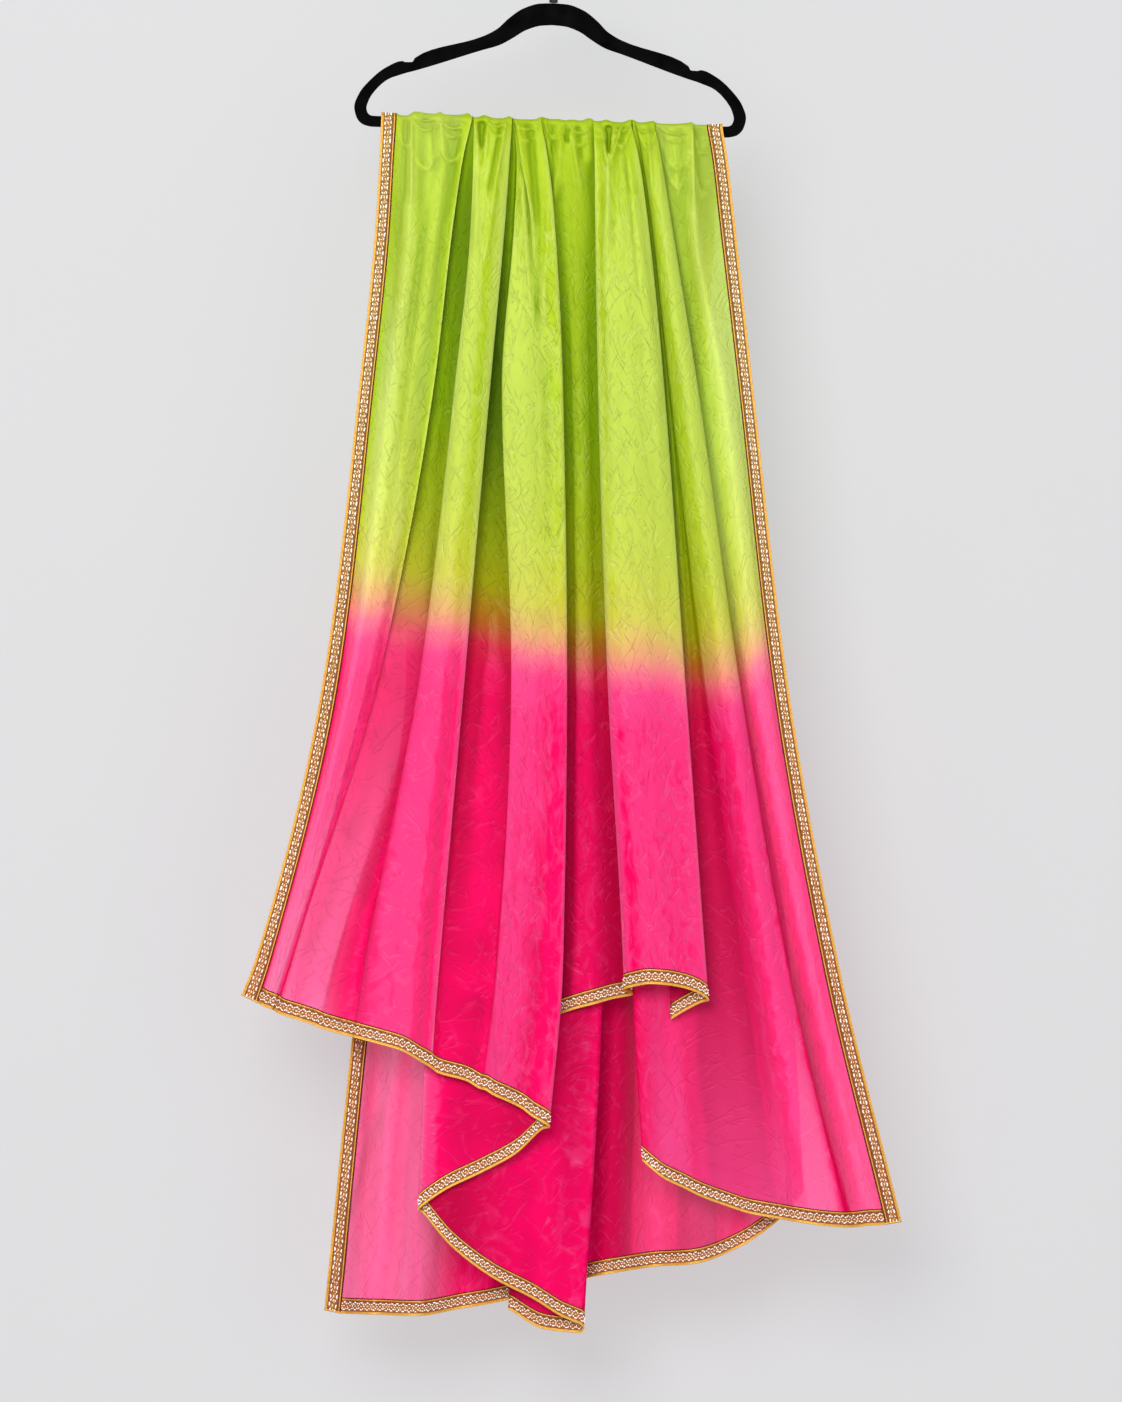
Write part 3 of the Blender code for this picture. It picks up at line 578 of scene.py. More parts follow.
# The lace's woven ground from its outer to its inner edge.
GILT = [
    (0.00, 208, 152, 54),
    (0.17, 150, 90, 26),
    (0.24, 178, 124, 60),
    (0.48, 194, 142, 78),
    (0.72, 174, 120, 56),
    (0.80, 134, 74, 24),
    (0.90, 202, 148, 54),
    (0.965, 116, 28, 16),
]
NET_TINT = (0.42, 0.32, 0.22, 1)  # darkens the gaps of its net
# Painted light reflected from the cloth onto the lace: green higher up, and pink lower down, where it also darkens the
# lace as painted shade.
GREEN_BOUNCE, PINK_BOUNCE = (0.86, 1, 0.62, 1), (0.98, 0.66, 0.38, 1)  # light from the cloth
CORD_GOLD = [(0.30, 184, 118, 26), (0.55, 222, 162, 52), (0.85, 246, 206, 110)]
STRAND_PITCH = 0.0016  # in metres
PEARL = [(0.0, 252, 248, 244), (0.35, 246, 230, 210), (1.0, 232, 190, 136)]
FLOCKING = [(0.3, 1, 1, 2), (0.7, 8, 8, 9)]
WIRE_PAINT = [(0.3, 14, 14, 15), (0.7, 26, 26, 28)]
WALL_PAINT = [(0.3, 119.16, 119.16, 120.15), (0.7, 120, 120, 121)]
FLOOR_PAINT = [(0.3, 188.72, 188.72, 189.71), (0.7, 190, 190, 191)]
STAGE_GLOW = (0.985, 0.985, 1, 1)
WALL_GLOW, FLOOR_GLOW = 0.49, 0.12

# The studio, in metres and watts.
Light = namedtuple("Light", "name place target size watts colour")
LIGHTS = [
    ("key", (-1.2, -4.2, 1.0), (0, 0, -0.75), 2.6, 216, (1, 0.99, 0.97)),
    ("fill", (2.8, -3.6, -0.4), (0, 0, -0.9), 3.0, 34, (0.96, 0.98, 1)),
    ("back", (2.2, 4.0, 0.9), (0, 0, -0.8), 3.0, 190, (0.98, 0.99, 1)),
]
SKY, SKY_STRENGTH = (0.95, 0.97, 1, 1), 0.5
CAMERA_PLACE = (0.006, -9.0, -0.875)
HALF_VIEW = 0.7957  # half the frame's height, at the hanger
WALL, WALL_TOP, GROUND, STAGE_FRONT, STAGE_HALF = 0.16, 3, -2.35, -8, 7.0


# ---------------------------------------------------------------- curves and grids
def smooth(knots, values, places):
    """A smooth curve through values at knots, read at places, that never overshoots."""
    knots = np.asarray(knots, float)
    values = np.asarray(values, float).reshape(len(knots), -1)
    gaps = np.diff(knots)[:, None]
    slopes = np.diff(values, axis=0) / gaps
    turns = np.zeros_like(values)
    turns[0], turns[-1] = slopes[0], slopes[-1]
    before, after = slopes[:-1], slopes[1:]
    weight_a = 2 * gaps[1:] + gaps[:-1]
    weight_b = gaps[1:] + 2 * gaps[:-1]
    with np.errstate(divide="ignore", invalid="ignore"):
        mean = (weight_a + weight_b) / (weight_a / before + weight_b / after)
    turns[1:-1] = np.where(before * after > 0, mean, 0.0)
    places = np.asarray(places, float)
    span = np.clip(np.searchsorted(knots, places, side="right") - 1, 0, len(gaps) - 1)
    gap = gaps[span]
    s = (places - knots[span])[:, None] / gap
    return (
        (1 + 2 * s) * (1 - s) ** 2 * values[span]
        + s * (1 - s) ** 2 * gap * turns[span]
        + s**2 * (3 - 2 * s) * values[span + 1]
        + s**2 * (s - 1) * gap * turns[span + 1]
    )


def lengths(line):
    """The distance along a line of points, at each of them."""
    steps = np.linalg.norm(np.diff(line, axis=0), axis=1)
    return np.concatenate([[0.0], np.cumsum(steps)])


def along(line, at, places):
    """A line's points at places, where at is the place of each of its own points."""
    return np.column_stack([np.interp(places, at, axis) for axis in line.T])


def between(knots, counts):
    """Places that split each gap between knots into so many equal steps."""
    gaps = zip(knots, knots[1:], counts)
    return [a + (b - a) * i / count for a, b, count in gaps for i in range(count)] + [knots[-1]]


def unit(vectors):
    return vectors / (np.linalg.norm(vectors, axis=-1, keepdims=True) + 1e-9)


def bump_shape(away):
    """A smooth bump: 1 in its middle and 0 from a distance of 1."""
    return np.where(np.abs(away) < 1, (1 - away**2) ** 2, 0)


def noise_grid(u, v, seed):
    """Smooth noise from -1 to 1 at the points (u, v), with features about 1 across."""
    size = 64
    lattice = np.random.default_rng(seed).uniform(-1, 1, (size, size))
    iu, iv = np.floor(u).astype(int), np.floor(v).astype(int)
    fu, fv = u - iu, v - iv
    fu, fv = fu * fu * (3 - 2 * fu), fv * fv * (3 - 2 * fv)
    iu, iv, ju, jv = iu % size, iv % size, (iu + 1) % size, (iv + 1) % size
    near = lattice[iu, iv] * (1 - fu) + lattice[ju, iv] * fu
    far = lattice[iu, jv] * (1 - fu) + lattice[ju, jv] * fu
    return near * (1 - fv) + far * fv


def blur(values, reach):
    """Averages over a window that reaches so many rows and columns each way."""
    for axis, steps in enumerate(reach):
        wide = 2 * steps + 1
        padding = [(0, 0), (0, 0)]
        padding[axis] = (steps + 1, steps)
        total = np.cumsum(np.pad(values, padding, mode="edge"), axis=axis)
        ahead, behind = [slice(None)] * 2, [slice(None)] * 2
        ahead[axis], behind[axis] = slice(wide, None), slice(None, -wide)
        values = (total[tuple(ahead)] - total[tuple(behind)]) / wide
    return values


def grid_faces(rows, columns, closed_rows=False, closed_columns=False):
    """Faces of a grid of points that may close on itself either way."""
    faces = []
    for i in range(rows if closed_rows else rows - 1):
        a, b = i * columns, (i + 1) % rows * columns
        for j in range(columns if closed_columns else columns - 1):
            k = (j + 1) % columns
            faces.append((a + j, a + k, b + k, b + j))
    return faces


def rod_faces(rows, sides):
    """Faces of a closed rod, whose rows of points go round it."""
    ends = [tuple(range(sides))[::-1], tuple(range((rows - 1) * sides, rows * sides))]
    return grid_faces(rows, sides, closed_columns=True) + ends


def new_object(name, vertices, faces, finish):
    mesh = bpy.data.meshes.new(name)
    mesh.from_pydata((np.asarray(vertices) * MM).tolist(), [], faces)
    mesh.materials.append(finish)
    mesh.shade_smooth()
    made = bpy.data.objects.new(name, mesh)
    bpy.context.collection.objects.link(made)
    return made


def tidy_shell(mesh):
    """Turns the faces of a closed shell outwards."""
    shell = bmesh.new()
    shell.from_mesh(mesh)
    bmesh.ops.recalc_face_normals(shell, faces=shell.faces)
    shell.to_mesh(mesh)
    shell.free()


def put_uv(mesh, uv):
    layer = mesh.uv_layers.new(name="cloth")
    index = np.empty(len(mesh.loops), int)
    mesh.loops.foreach_get("vertex_index", index)
    layer.data.foreach_set("uv", np.asarray(uv)[index].ravel())


def put_value(mesh, name, values):
    layer = mesh.attributes.new(name, "FLOAT", "POINT")
    layer.data.foreach_set("value", np.asarray(values, float).ravel())


def declare(piece, slot, cad=None):
    """Says which body a piece rides on, its slot, and the solid whose place it takes."""
    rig.ride(piece, "root")
    if cad:
        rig.replaces(piece, cad)
    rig.slot(piece, slot)
    return piece


# ---------------------------------------------------------------- cloth
def bar_top(across):
    return BAR_TOP / math.cos(TILT) - math.tan(TILT) * across


def crest_height(across):
    """Height of the cloth's middle on top of the bar, with the bumps of its gathers."""
    knots, heights = zip(*CREST)
    inside = np.clip(across, knots[0], knots[-1] - 0.01)
    return bar_top(across) + smooth(knots, heights, inside)[:, 0]


def rail(fold):
    """A fold line's points down the fall, and at each its painted shade and highlight, how see-through it is and its
    place in the dye.
    """
    start = BAR_ROUND - bar_top(fold.x[0])
    length = fold.hem - start
    shares = np.linspace(0, 1, FALL_ROWS) ** FALL_CROWDING * (1 - LACE_WIDTH / length)
    at = start + np.append(shares, 1.0) * length
    columns = np.column_stack([fold.x, fold.front, PAINTED_SHADING[fold.deep], SHEER[fold.sheer]])
    x, front, deep, sheer = smooth([start, *LEVELS, fold.hem], columns, at).T
    dye = (at - fold.turn) / DYE_SPREAD + 0.5
    return np.column_stack([x, -front, -at, deep, sheer, dye])


def fall_grid(name, folds):
    """The fall of one stretch: its fold lines with fine columns between them."""
    rails = np.stack([rail(fold) for fold in folds], axis=1)
    spans = np.diff(lengths(rails[len(rails) // 2, :, :3]))
    counts = [int(np.clip(round(span / COLUMN_GAP[name]), *COLUMN_LIMITS)) for span in spans]
    if name in ("front_left", "back"):
        counts[0] = LACE_COLUMNS
    if name in ("front_right", "back"):
        counts[-1] = LACE_COLUMNS
    grid = []
    for row in rails:
        chords = np.linalg.norm(np.diff(row[:, :3], axis=0), axis=1)
        knots = np.concatenate([[0.0], np.cumsum(np.sqrt(chords + CHORD_FLOOR))])
        grid.append(smooth(knots, row, between(knots, counts)))
    fall = np.array(grid)
    fall[0, :, 2] = bar_top(fall[0, :, 0]) - BAR_ROUND
    return fall


Sheet = namedtuple("Sheet", "points normals cloth deep sheer dye tone")


def sheet(name, rows):
    """The middle surface of one stretch of cloth and its lace, as a grid."""
    folds = [Fold(*row) for row in rows]
    facing = math.copysign(1.0, folds[0].front[0])
    fall = fall_grid(name, folds)
    first, count = fall[0], len(ARC_DEGREES)
    angles = np.radians(ARC_DEGREES)[:, None]
    arcs = np.repeat(fall[:1], count, axis=0)
    arcs[..., 1] *= np.cos(angles)
    arcs[..., 2] += (crest_height(first[:, 0]) - first[:, 2]) * np.sin(angles)
    whole = np.concatenate([arcs, fall])
    points = whole[..., :3].copy()
    cloth = np.zeros(points.shape[:2] + (2,))
    cloth[..., 0] = lengths(points[len(points) * 3 // 5]) * MM
    cloth[..., 1] = (whole[..., 5] - 0.5) * DYE_SPREAD * MM
    ripple(points, cloth, facing)
    for dent in DENTS[name]:
        press(points, Dent(*dent), facing)
    for swag in SWAGS[name]:
        loop(points, Swag(*swag), facing)
    hanging = points[count:]
    least = np.where(-hanging[..., 2] < BAR_PASSED, CLEAR_OF_BAR, CLEAR_BELOW)
    hanging[..., 1] = facing * np.minimum(facing * hanging[..., 1], -least)
    points[0, :, 1] = 0.0
    normals = facing * unit(np.cross(np.gradient(points, axis=0), np.gradient(points, axis=1)))
    # Painted light and shade from the cloth's relief, made stronger at the gathers under the bar.
    gathered = np.clip((GATHERS[1] + hanging[..., 2]) / (GATHERS[1] - GATHERS[0]), 0, 1)
    proud = tone(-facing * hanging[..., 1])
    proud = np.clip(proud * (1 + GATHERS_EXTRA * gathered), -1, 1)
    tones = np.concatenate([np.repeat(proud[:1] / 2, count, axis=0), proud])
    return Sheet(points, normals, cloth, whole[..., 3], whole[..., 4], whole[..., 5], tones)


def tone(front):
    """How far each place stands before (1) or behind (-1) the cloth around it, for painted light on what stands out
    and painted shade in hollows.
    """
    fine, total = blur(front, (1, 1)), 0.0
    for relief in (Relief(*row) for row in RELIEFS):
        mean = blur(blur(front, relief.window), relief.window)
        total = total + relief.share * np.tanh((fine - mean) / relief.far)
    return np.clip(total, -1, 1)


def ripple(points, cloth, facing):
    """Small soft waves that run down the cloth, and slight unevenness."""
    u, v = cloth[..., 0] / MM, -points[..., 2]
    below = np.clip((v - WAVES_GROW[0]) / (WAVES_GROW[1] - WAVES_GROW[0]), 0, 1)
    grow = below * np.clip(np.abs(points[..., 1]) / WAVES_FREE, WAVES_LEAST, 1)
    rises = []
    for wave in (Wave(*row) for row in WAVES):
        noise = noise_grid(u / wave.wide + wave.start_u, v / wave.long + wave.start_v, wave.seed)
        rises.append(noise * wave.rise)
    points[..., 1] -= facing * grow * sum(rises)


def press(points, dent, facing):
    """Presses one dent into the cloth."""
    x, down = points[..., 0], -points[..., 2]
    t = (down - dent.down1) / (dent.down2 - dent.down1)
    inside = np.clip(t, 0, 1)
    wide = dent.wide1 + (dent.wide2 - dent.wide1) * inside
    away = np.abs(x - (dent.x1 + (dent.x2 - dent.x1) * inside)) / wide
    over = np.maximum(-t, t - 1) * abs(dent.down2 - dent.down1)
    past = np.clip(over / (DENT_REACH * wide), 0, 1)
    ends = np.clip((DENT_FADE + np.minimum(t, 1 - t)) / (2 * DENT_FADE), 0, 1)
    below = np.clip((down + bar_top(x) - BAR_ROUND) / DENT_BELOW, 0, 1)
    points[..., 1] += facing * dent.depth * bump_shape(away) * ends * (1 - past) * below


def loop(points, swag, facing):
    """Raises one sagging ridge on the cloth."""
    half, middle = (swag.x2 - swag.x1) / 2, (swag.x1 + swag.x2) / 2
    inside = np.clip(1 - ((points[..., 0] - middle) / half) ** 2, 0, 1)
    away = (-points[..., 2] - swag.down - swag.sag * inside) / swag.wide
    points[..., 1] -= facing * swag.rise * bump_shape(away) * np.sqrt(inside)


def cloth_piece(stretch, made, first, last, finish):
    """The cloth of one stretch, without its lace, from column first to column last."""
    part = (slice(0, -1), slice(first, last))
    points = made.points[part]
    faces = grid_faces(*points.shape[:2])
    if stretch == "back":
        faces = [face[::-1] for face in faces]
    piece = new_object("silk_" + stretch, points.reshape(-1, 3), faces, finish)
    put_uv(piece.data, made.cloth[part].reshape(-1, 2))
    for what in ("deep", "sheer", "dye", "tone"):
        put_value(piece.data, what, getattr(made, what)[part])
    return declare(piece, "cloth", "cloth_" + stretch)


# ---------------------------------------------------------------- lace
class Strip:
    """A strip of lace between two lines, read by distance along it and share across it."""

    def __init__(self, outer, inner, fronts):
        self.at = lengths((outer + inner) / 2)
        self.length = float(self.at[-1])
        self.outer, self.inner, self.fronts = outer, inner, fronts

    def point(self, places, across, lift=0.0):
        outer, inner = along(self.outer, self.at, places), along(self.inner, self.at, places)
        return outer + (inner - outer) * np.reshape(across, (-1, 1)) + self.normal(places) * lift

    def normal(self, places):
        return unit(along(self.fronts, self.at, places))

    def ahead(self, places):
        return unit(self.point(places + 0.6, 0.5) - self.point(places - 0.6, 0.5))


def hem_strip(made, first, last):
    """The strip of lace along one stretch's hem."""
    columns = slice(first, last)
    return Strip(made.points[-1, columns], made.points[-2, columns], made.normals[-2, columns])


def side_strip(front, back, edge, inner):
    """The strip of lace up the front, over the bar and down the back, on one side."""

    def line(what, column):
        return np.concatenate([getattr(front, what)[::-1, column], getattr(back, what)[1:, column]])

    middle = (edge + inner) // 2
    return Strip(line("points", edge), line("points", inner), line("normals", middle))


def lace_band(name, strip, finish):
    """The woven ground of the lace: a thin closed strip."""
    places = np.linspace(0, strip.length, int(strip.length / BAND_STEP) + 2)
    lanes = [(share, BAND_HALF) for share in BAND_SHARES]
    lanes += [(share, -BAND_HALF) for share in BAND_SHARES[::-1]]
    points = np.stack([strip.point(places, share, lift) for share, lift in lanes], axis=1)
    uv = [[(place * MM, share) for share, _ in lanes] for place in places]
    faces = rod_faces(len(places), len(lanes))
    piece = new_object("lace_band_" + name, points.reshape(-1, 3), faces, finish)
    put_uv(piece.data, np.reshape(uv, (-1, 2)))
    tidy_shell(piece.data)
    return declare(piece, "lace", "lace_" + name)


def tube(line, radius, sides, twist=0.0):
    """Vertices, uv and faces of a closed cord along a line of points."""
    ahead = unit(np.gradient(line, axis=0))
    side = unit(np.cross(ahead, (0.0, 1.0, 0.15)))
    up = np.cross(side, ahead)
    at = lengths(line)
    vertices, uv = [], []
    for k in range(sides):
        angle = 2 * math.pi * k / sides
        swell = radius * (1 + twist * np.cos(2 * angle - 2 * math.pi * at / CORD_PITCH))
        ring = side * math.cos(angle) + up * math.sin(angle)
        vertices.append(line + ring * swell[:, None])
        uv.append(np.column_stack([at * MM, np.full(len(line), k / sides)]))
    faces = rod_faces(len(line), sides)
    return np.stack(vertices, axis=1).reshape(-1, 3), np.stack(uv, axis=1).reshape(-1, 2), faces


def lace_cords(name, strip, cords, edge, finish):
    """The gilt cords, of which the first follows the line edge where one is given."""
    vertices, uv, faces, base = [], [], [], 0
    for cord in (Cord(*row) for row in cords):
        if not base and edge is not None:
            at = lengths(edge)
            line = along(edge, at, np.arange(0, at[-1], cord.step))
        else:
            places = np.arange(CORD_MARGIN, strip.length - CORD_MARGIN, cord.step)
            line = strip.point(places, cord.across)
        points, place, sides = tube(line, cord.radius, cord.sides, cord.twist)
        vertices.append(points)
        uv.append(place)
        faces += [tuple(i + base for i in face) for face in sides]
        base += len(points)
    piece = new_object("lace_cords_" + name, np.concatenate(vertices), faces, finish)
    put_uv(piece.data, np.concatenate(uv))
    return declare(piece, "lace")


def bead_shape():
    """A small rounded bead, one unit long, wide and high."""
    vertices = [(-0.5, 0, 0)]
    for angle in (math.pi * i / BEAD_RINGS for i in range(1, BEAD_RINGS)):
        r = 0.5 * math.sin(angle) ** BEAD_FULLNESS
        for turn in (2 * math.pi * k / BEAD_SIDES for k in range(BEAD_SIDES)):
            vertices.append((-0.5 * math.cos(angle), r * math.cos(turn), r * math.sin(turn)))
    vertices.append((0.5, 0, 0))
    last = len(vertices) - 1
    rings = grid_faces(BEAD_RINGS - 1, BEAD_SIDES, closed_columns=True)
    faces = [tuple(i + 1 for i in face) for face in rings]
    for k in range(BEAD_SIDES):
        m = (k + 1) % BEAD_SIDES
        faces += [(0, 1 + m, 1 + k), (last - BEAD_SIDES + k, last - BEAD_SIDES + m, last)]
    return np.array(vertices), faces


def lace_beads(name, strip, beads, repeat, finish, seed):
    """The rows of beads, each a little out of place, size and turn."""
    random = np.random.default_rng(seed)
    shape, shape_faces = bead_shape()
    units = max(1, int(round(strip.length / repeat)))
    step = strip.length / units
    vertices, tints = [], []
    for bead in (Bead(*row) for row in beads):
        places = (np.arange(units) + bead.along) * step + random.normal(0, VARY_ALONG, units)
        places = np.clip(places, bead.long / 2, strip.length - bead.long / 2)
        centre = strip.point(places, bead.across + random.normal(0, VARY_ACROSS, units))
        ahead, up = strip.ahead(places), strip.normal(places)
        turn = np.radians(bead.turn + random.normal(0, VARY_TURN, units))[:, None]
        way = ahead * np.cos(turn) + np.cross(up, ahead) * np.sin(turn)
        size = 1 + random.normal(0, VARY_SIZE, units)
        bend = random.normal(1, VARY_BOW, units)
        high = np.full(units, bead.high * 2)
        local = shape * np.stack([bead.long * size, bead.wide * size, high], axis=1)[:, None]
        local[..., 1] += bead.bow * np.outer(bend, (2 * shape[:, 0]) ** 2)
        axes = np.stack([way, np.cross(up, way), up], axis=1)
        vertices.append((centre[:, None] + local @ axes).reshape(-1, 3))
        tints += [bead.peach] * (units * len(shape))
    bases = range(0, len(tints), len(shape))
    faces = [tuple(k + base for k in face) for base in bases for face in shape_faces]
    piece = new_object("lace_beads_" + name, np.concatenate(vertices), faces, finish)
    put_value(piece.data, "peach", tints)
    return declare(piece, "lace")


def dupatta():
    """The four stretches of cloth, each with its lace."""
    silk_finish, finishes = silk(), (lace_ground(), gold_cord(), pearl_bead())
    left, centre = sheet("front_left", FRONT_LEFT), sheet("front_centre", FRONT_CENTRE)
    right, back = sheet("front_right", FRONT_RIGHT), sheet("back", BACK)
    step = LACE_COLUMNS
    spans = {
        "front_left": (left, step, None),
        "front_centre": (centre, 0, None),
        "front_right": (right, 0, -step),
        "back": (back, step, -step),
    }
    pieces = {name: cloth_piece(name, *span, silk_finish) for name, span in spans.items()}
    strips = {
        "side_left": side_strip(left, back, 0, step),
        "side_right": side_strip(right, back, -1, -1 - step),
    }
    strips.update({"hem_" + name: hem_strip(*span) for name, span in spans.items()})
    trims = {}
    for seed, (name, strip) in enumerate(strips.items(), BEAD_SEED):
        cords, beads, repeat, edge = SIDE_CORDS, SIDE_BEADS, SIDE_REPEAT, None
        if name.startswith("hem_"):
            cords, beads, repeat = HEM_CORDS, HEM_BEADS, HEM_REPEAT
            edge = spans[name[4:]][0].points[-1] + (0, 0, HEM_EDGE_LIFT)
        trims[name] = [
            lace_band(name, strip, finishes[0]),
            lace_cords(name, strip, cords, edge, finishes[1]),
            lace_beads(name, strip, beads, repeat, finishes[2], seed),
        ]
    for name, flat, sewn_on in (
        ("front_left", (0.65, 1.1), trims["side_left"] + trims["hem_front_left"]),
        ("front_centre", (0.2, 1.0), trims["hem_front_centre"]),
        ("front_right", (0.25, 1.2), trims["side_right"] + trims["hem_front_right"]),
        ("back", (0.47, 1.26), trims["hem_back"]),
    ):
        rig.sheet(pieces[name], flat=flat, with_pieces=sewn_on, held="hung", rests_on=["hanger_frame"])


# ---------------------------------------------------------------- hanger
def tilted(points):
    """Turns points in the hanger's own frame to the hanging object's."""
    x, y, z = np.asarray(points, float).T
    turned = x * math.cos(TILT) + z * math.sin(TILT), y, z * math.cos(TILT) - x * math.sin(TILT)
    return np.column_stack(turned)


def solid_piece(name, cad, slot, vertices, faces, finish):
    piece = new_object(name, tilted(vertices), faces, finish)
    tidy_shell(piece.data)
    declare(piece, slot, cad)


def hanger_frame():
    """The flocked body: a ring of rounded sections through the neck, arms and bar."""
    stations = np.array(STATIONS, float)
    knots = lengths(stations[:, :2])
    fine = smooth(knots, stations, between(knots, [STATION_STEPS] * (len(knots) - 1)))
    fine = np.concatenate([fine, fine[-2:0:-1] * (-1, 1, -1, 1)])
    outer, inner = fine[:, None, :2], fine[:, None, 2:]
    wide = np.linalg.norm(outer - inner, axis=2)
    angles = 2 * math.pi * (np.arange(FRAME_SIDES) + 0.5) / FRAME_SIDES
    c, s = np.cos(angles), np.sin(angles)
    reach = np.copysign(wide / 2 - FRAME_ROUND, c) + FRAME_ROUND * c
    front = np.copysign(FRAME_HALF - FRAME_ROUND, s) + FRAME_ROUND * s
    spots = (outer + inner) / 2 + (outer - inner) / wide[..., None] * reach[..., None]
    vertices = np.insert(spots, 1, front, axis=2).reshape(-1, 3)
    faces = grid_faces(len(fine), FRAME_SIDES, closed_rows=True, closed_columns=True)
    solid_piece("flocked_frame", "hanger_frame", "hanger", vertices, faces, flock())


def hanger_hook():
    """The collar and the wire hook above it, as one turned and bent rod."""
    arc = HOOK_INSIDE + HOOK_WIRE
    angles = np.radians(np.linspace(*HOOK_DEGREES, HOOK_BENDS))
    bend = np.column_stack([arc * np.cos(angles), arc * np.sin(angles) - HOOK_INSIDE])
    course = np.concatenate([HOOK_NECK, bend])
    knots = lengths(course)
    wire = smooth(knots, course, np.linspace(0, knots[-1], HOOK_POINTS))
    line = [(0, 0, height) for height, _ in COLLAR] + [(x, 0, z) for x, z in wire]
    radius = np.array([radius for _, radius in COLLAR] + [HOOK_WIRE] * len(wire))
    radius[-1] *= HOOK_TIP
    vertices, _, faces = tube(np.array(line, float), radius, HOOK_SIDES)
    solid_piece("wire_hook", "hanger_hook", "hook", vertices, faces, painted_wire())


# ---------------------------------------------------------------- materials
def srgb(*colour):
    """A colour of 0 to 255 as the linear numbers that shaders use."""
    shares = [c / 255 for c in colour]
    return [c / 12.92 if c <= 0.04045 else ((c + 0.055) / 1.055) ** 2.4 for c in shares]


class Nodes:
    """A short way to make a material's nodes. Its methods give a node's result."""

    def __init__(self, name):
        self.material = bpy.data.materials.new(name)
        self.material.use_nodes = True
        self.tree = self.material.node_tree

    def feed(self, socket, value):
        if isinstance(value, bpy.types.NodeSocket):
            self.tree.links.new(value, socket)
        else:
            socket.default_value = value

    def add(self, kind, inputs=None, **settings):
        node = self.tree.nodes.new("ShaderNode" + kind)
        for key, value in settings.items():
            setattr(node, key, value)
        for key, value in (inputs or {}).items():
            self.feed(node.inputs[key], value)
        return node.outputs

    def math(self, operation, a, b=0.0, c=0.0, clamp=False):
        return self.add("Math", {0: a, 1: b, 2: c}, operation=operation, use_clamp=clamp)[0]

    def scale(self, a, factor, plus=0.0, clamp=False):
        """a * factor + plus."""
        return self.math("MULTIPLY_ADD", a, factor, plus, clamp)

    def ramp(self, value, stops):
        """A colour ramp through rows of a place and an sRGB colour."""
        node = self.tree.nodes.new("ShaderNodeValToRGB")
        self.feed(node.inputs[0], value)
        elements = node.color_ramp.elements
        for _ in stops[2:]:
            elements.new(0.5)
        for element, (place, *colour) in zip(elements, stops):
            element.position = place
            element.color = (*srgb(*colour), 1)
        return node.outputs[0]

    def mix(self, share, a, b, blend="MIX"):
        return self.add("Mix", {0: share, 6: a, 7: b}, data_type="RGBA", blend_type=blend)[2]

    def noise(self, place, scale, detail, distortion=0.0):
        inputs = {0: place, "Scale": scale, "Detail": detail, "Distortion": distortion}
        return self.add("TexNoise", inputs)[0]

    def bump(self, strength, distance, height):
        return self.add("Bump", {"Strength": strength, "Distance": distance, "Height": height})[0]

    def value(self, name):
        return self.add("Attribute", attribute_name=name)["Fac"]

    def uv(self, across=1.0, down=1.0):
        place = self.add("UVMap", uv_map="cloth")[0]
        return self.add("Mapping", {0: place, 3: (across, down, 1)})[0]

    def split(self, vector):
        return self.add("SeparateXYZ", {0: vector})

    def spot(self):
        return self.add("TexCoord")["Object"]

    def surface(self, colour, **inputs):
        """The material's own shader, where a plain number is set on its own socket."""
        shader = self.tree.nodes["Principled BSDF"]
        for key, value in {"Base_Color": colour, **inputs}.items():
            self.feed(shader.inputs[key.replace("_", " ")], value)
        return shader.outputs[0]

    def blend(self, share, first, second):
        return self.add("MixShader", {0: share, 1: first, 2: second})[0]

    def show(self, surface):
        self.feed(self.tree.nodes["Material Output"].inputs[0], surface)
        return self.material


def crushed(n):
    """The crushed silk's short creases, which lean both ways and grow down the cloth."""
    across, down = n.split(n.uv())[:2]
    nets = []
    for lean, start in ((0.45, 0.0), (-0.45, 3.0)):
        place = n.add("CombineXYZ", {0: n.scale(down, lean, across), 1: n.scale(down, 0.35, start)})[0]
        inputs = {0: place, "Scale": 80, "Detail": 2, "Offset": 1, "Gain": 2, "Distortion": 0.6}
        nets.append(n.add("TexNoise", inputs, noise_type="RIDGED_MULTIFRACTAL")[0])
    crease = n.scale(n.math("MAXIMUM", *nets), 1.2, -1.6, clamp=True)
    height = n.split(n.spot())[2]
    return n.scale(crease, n.scale(height, -4.5, -0.9, clamp=True))


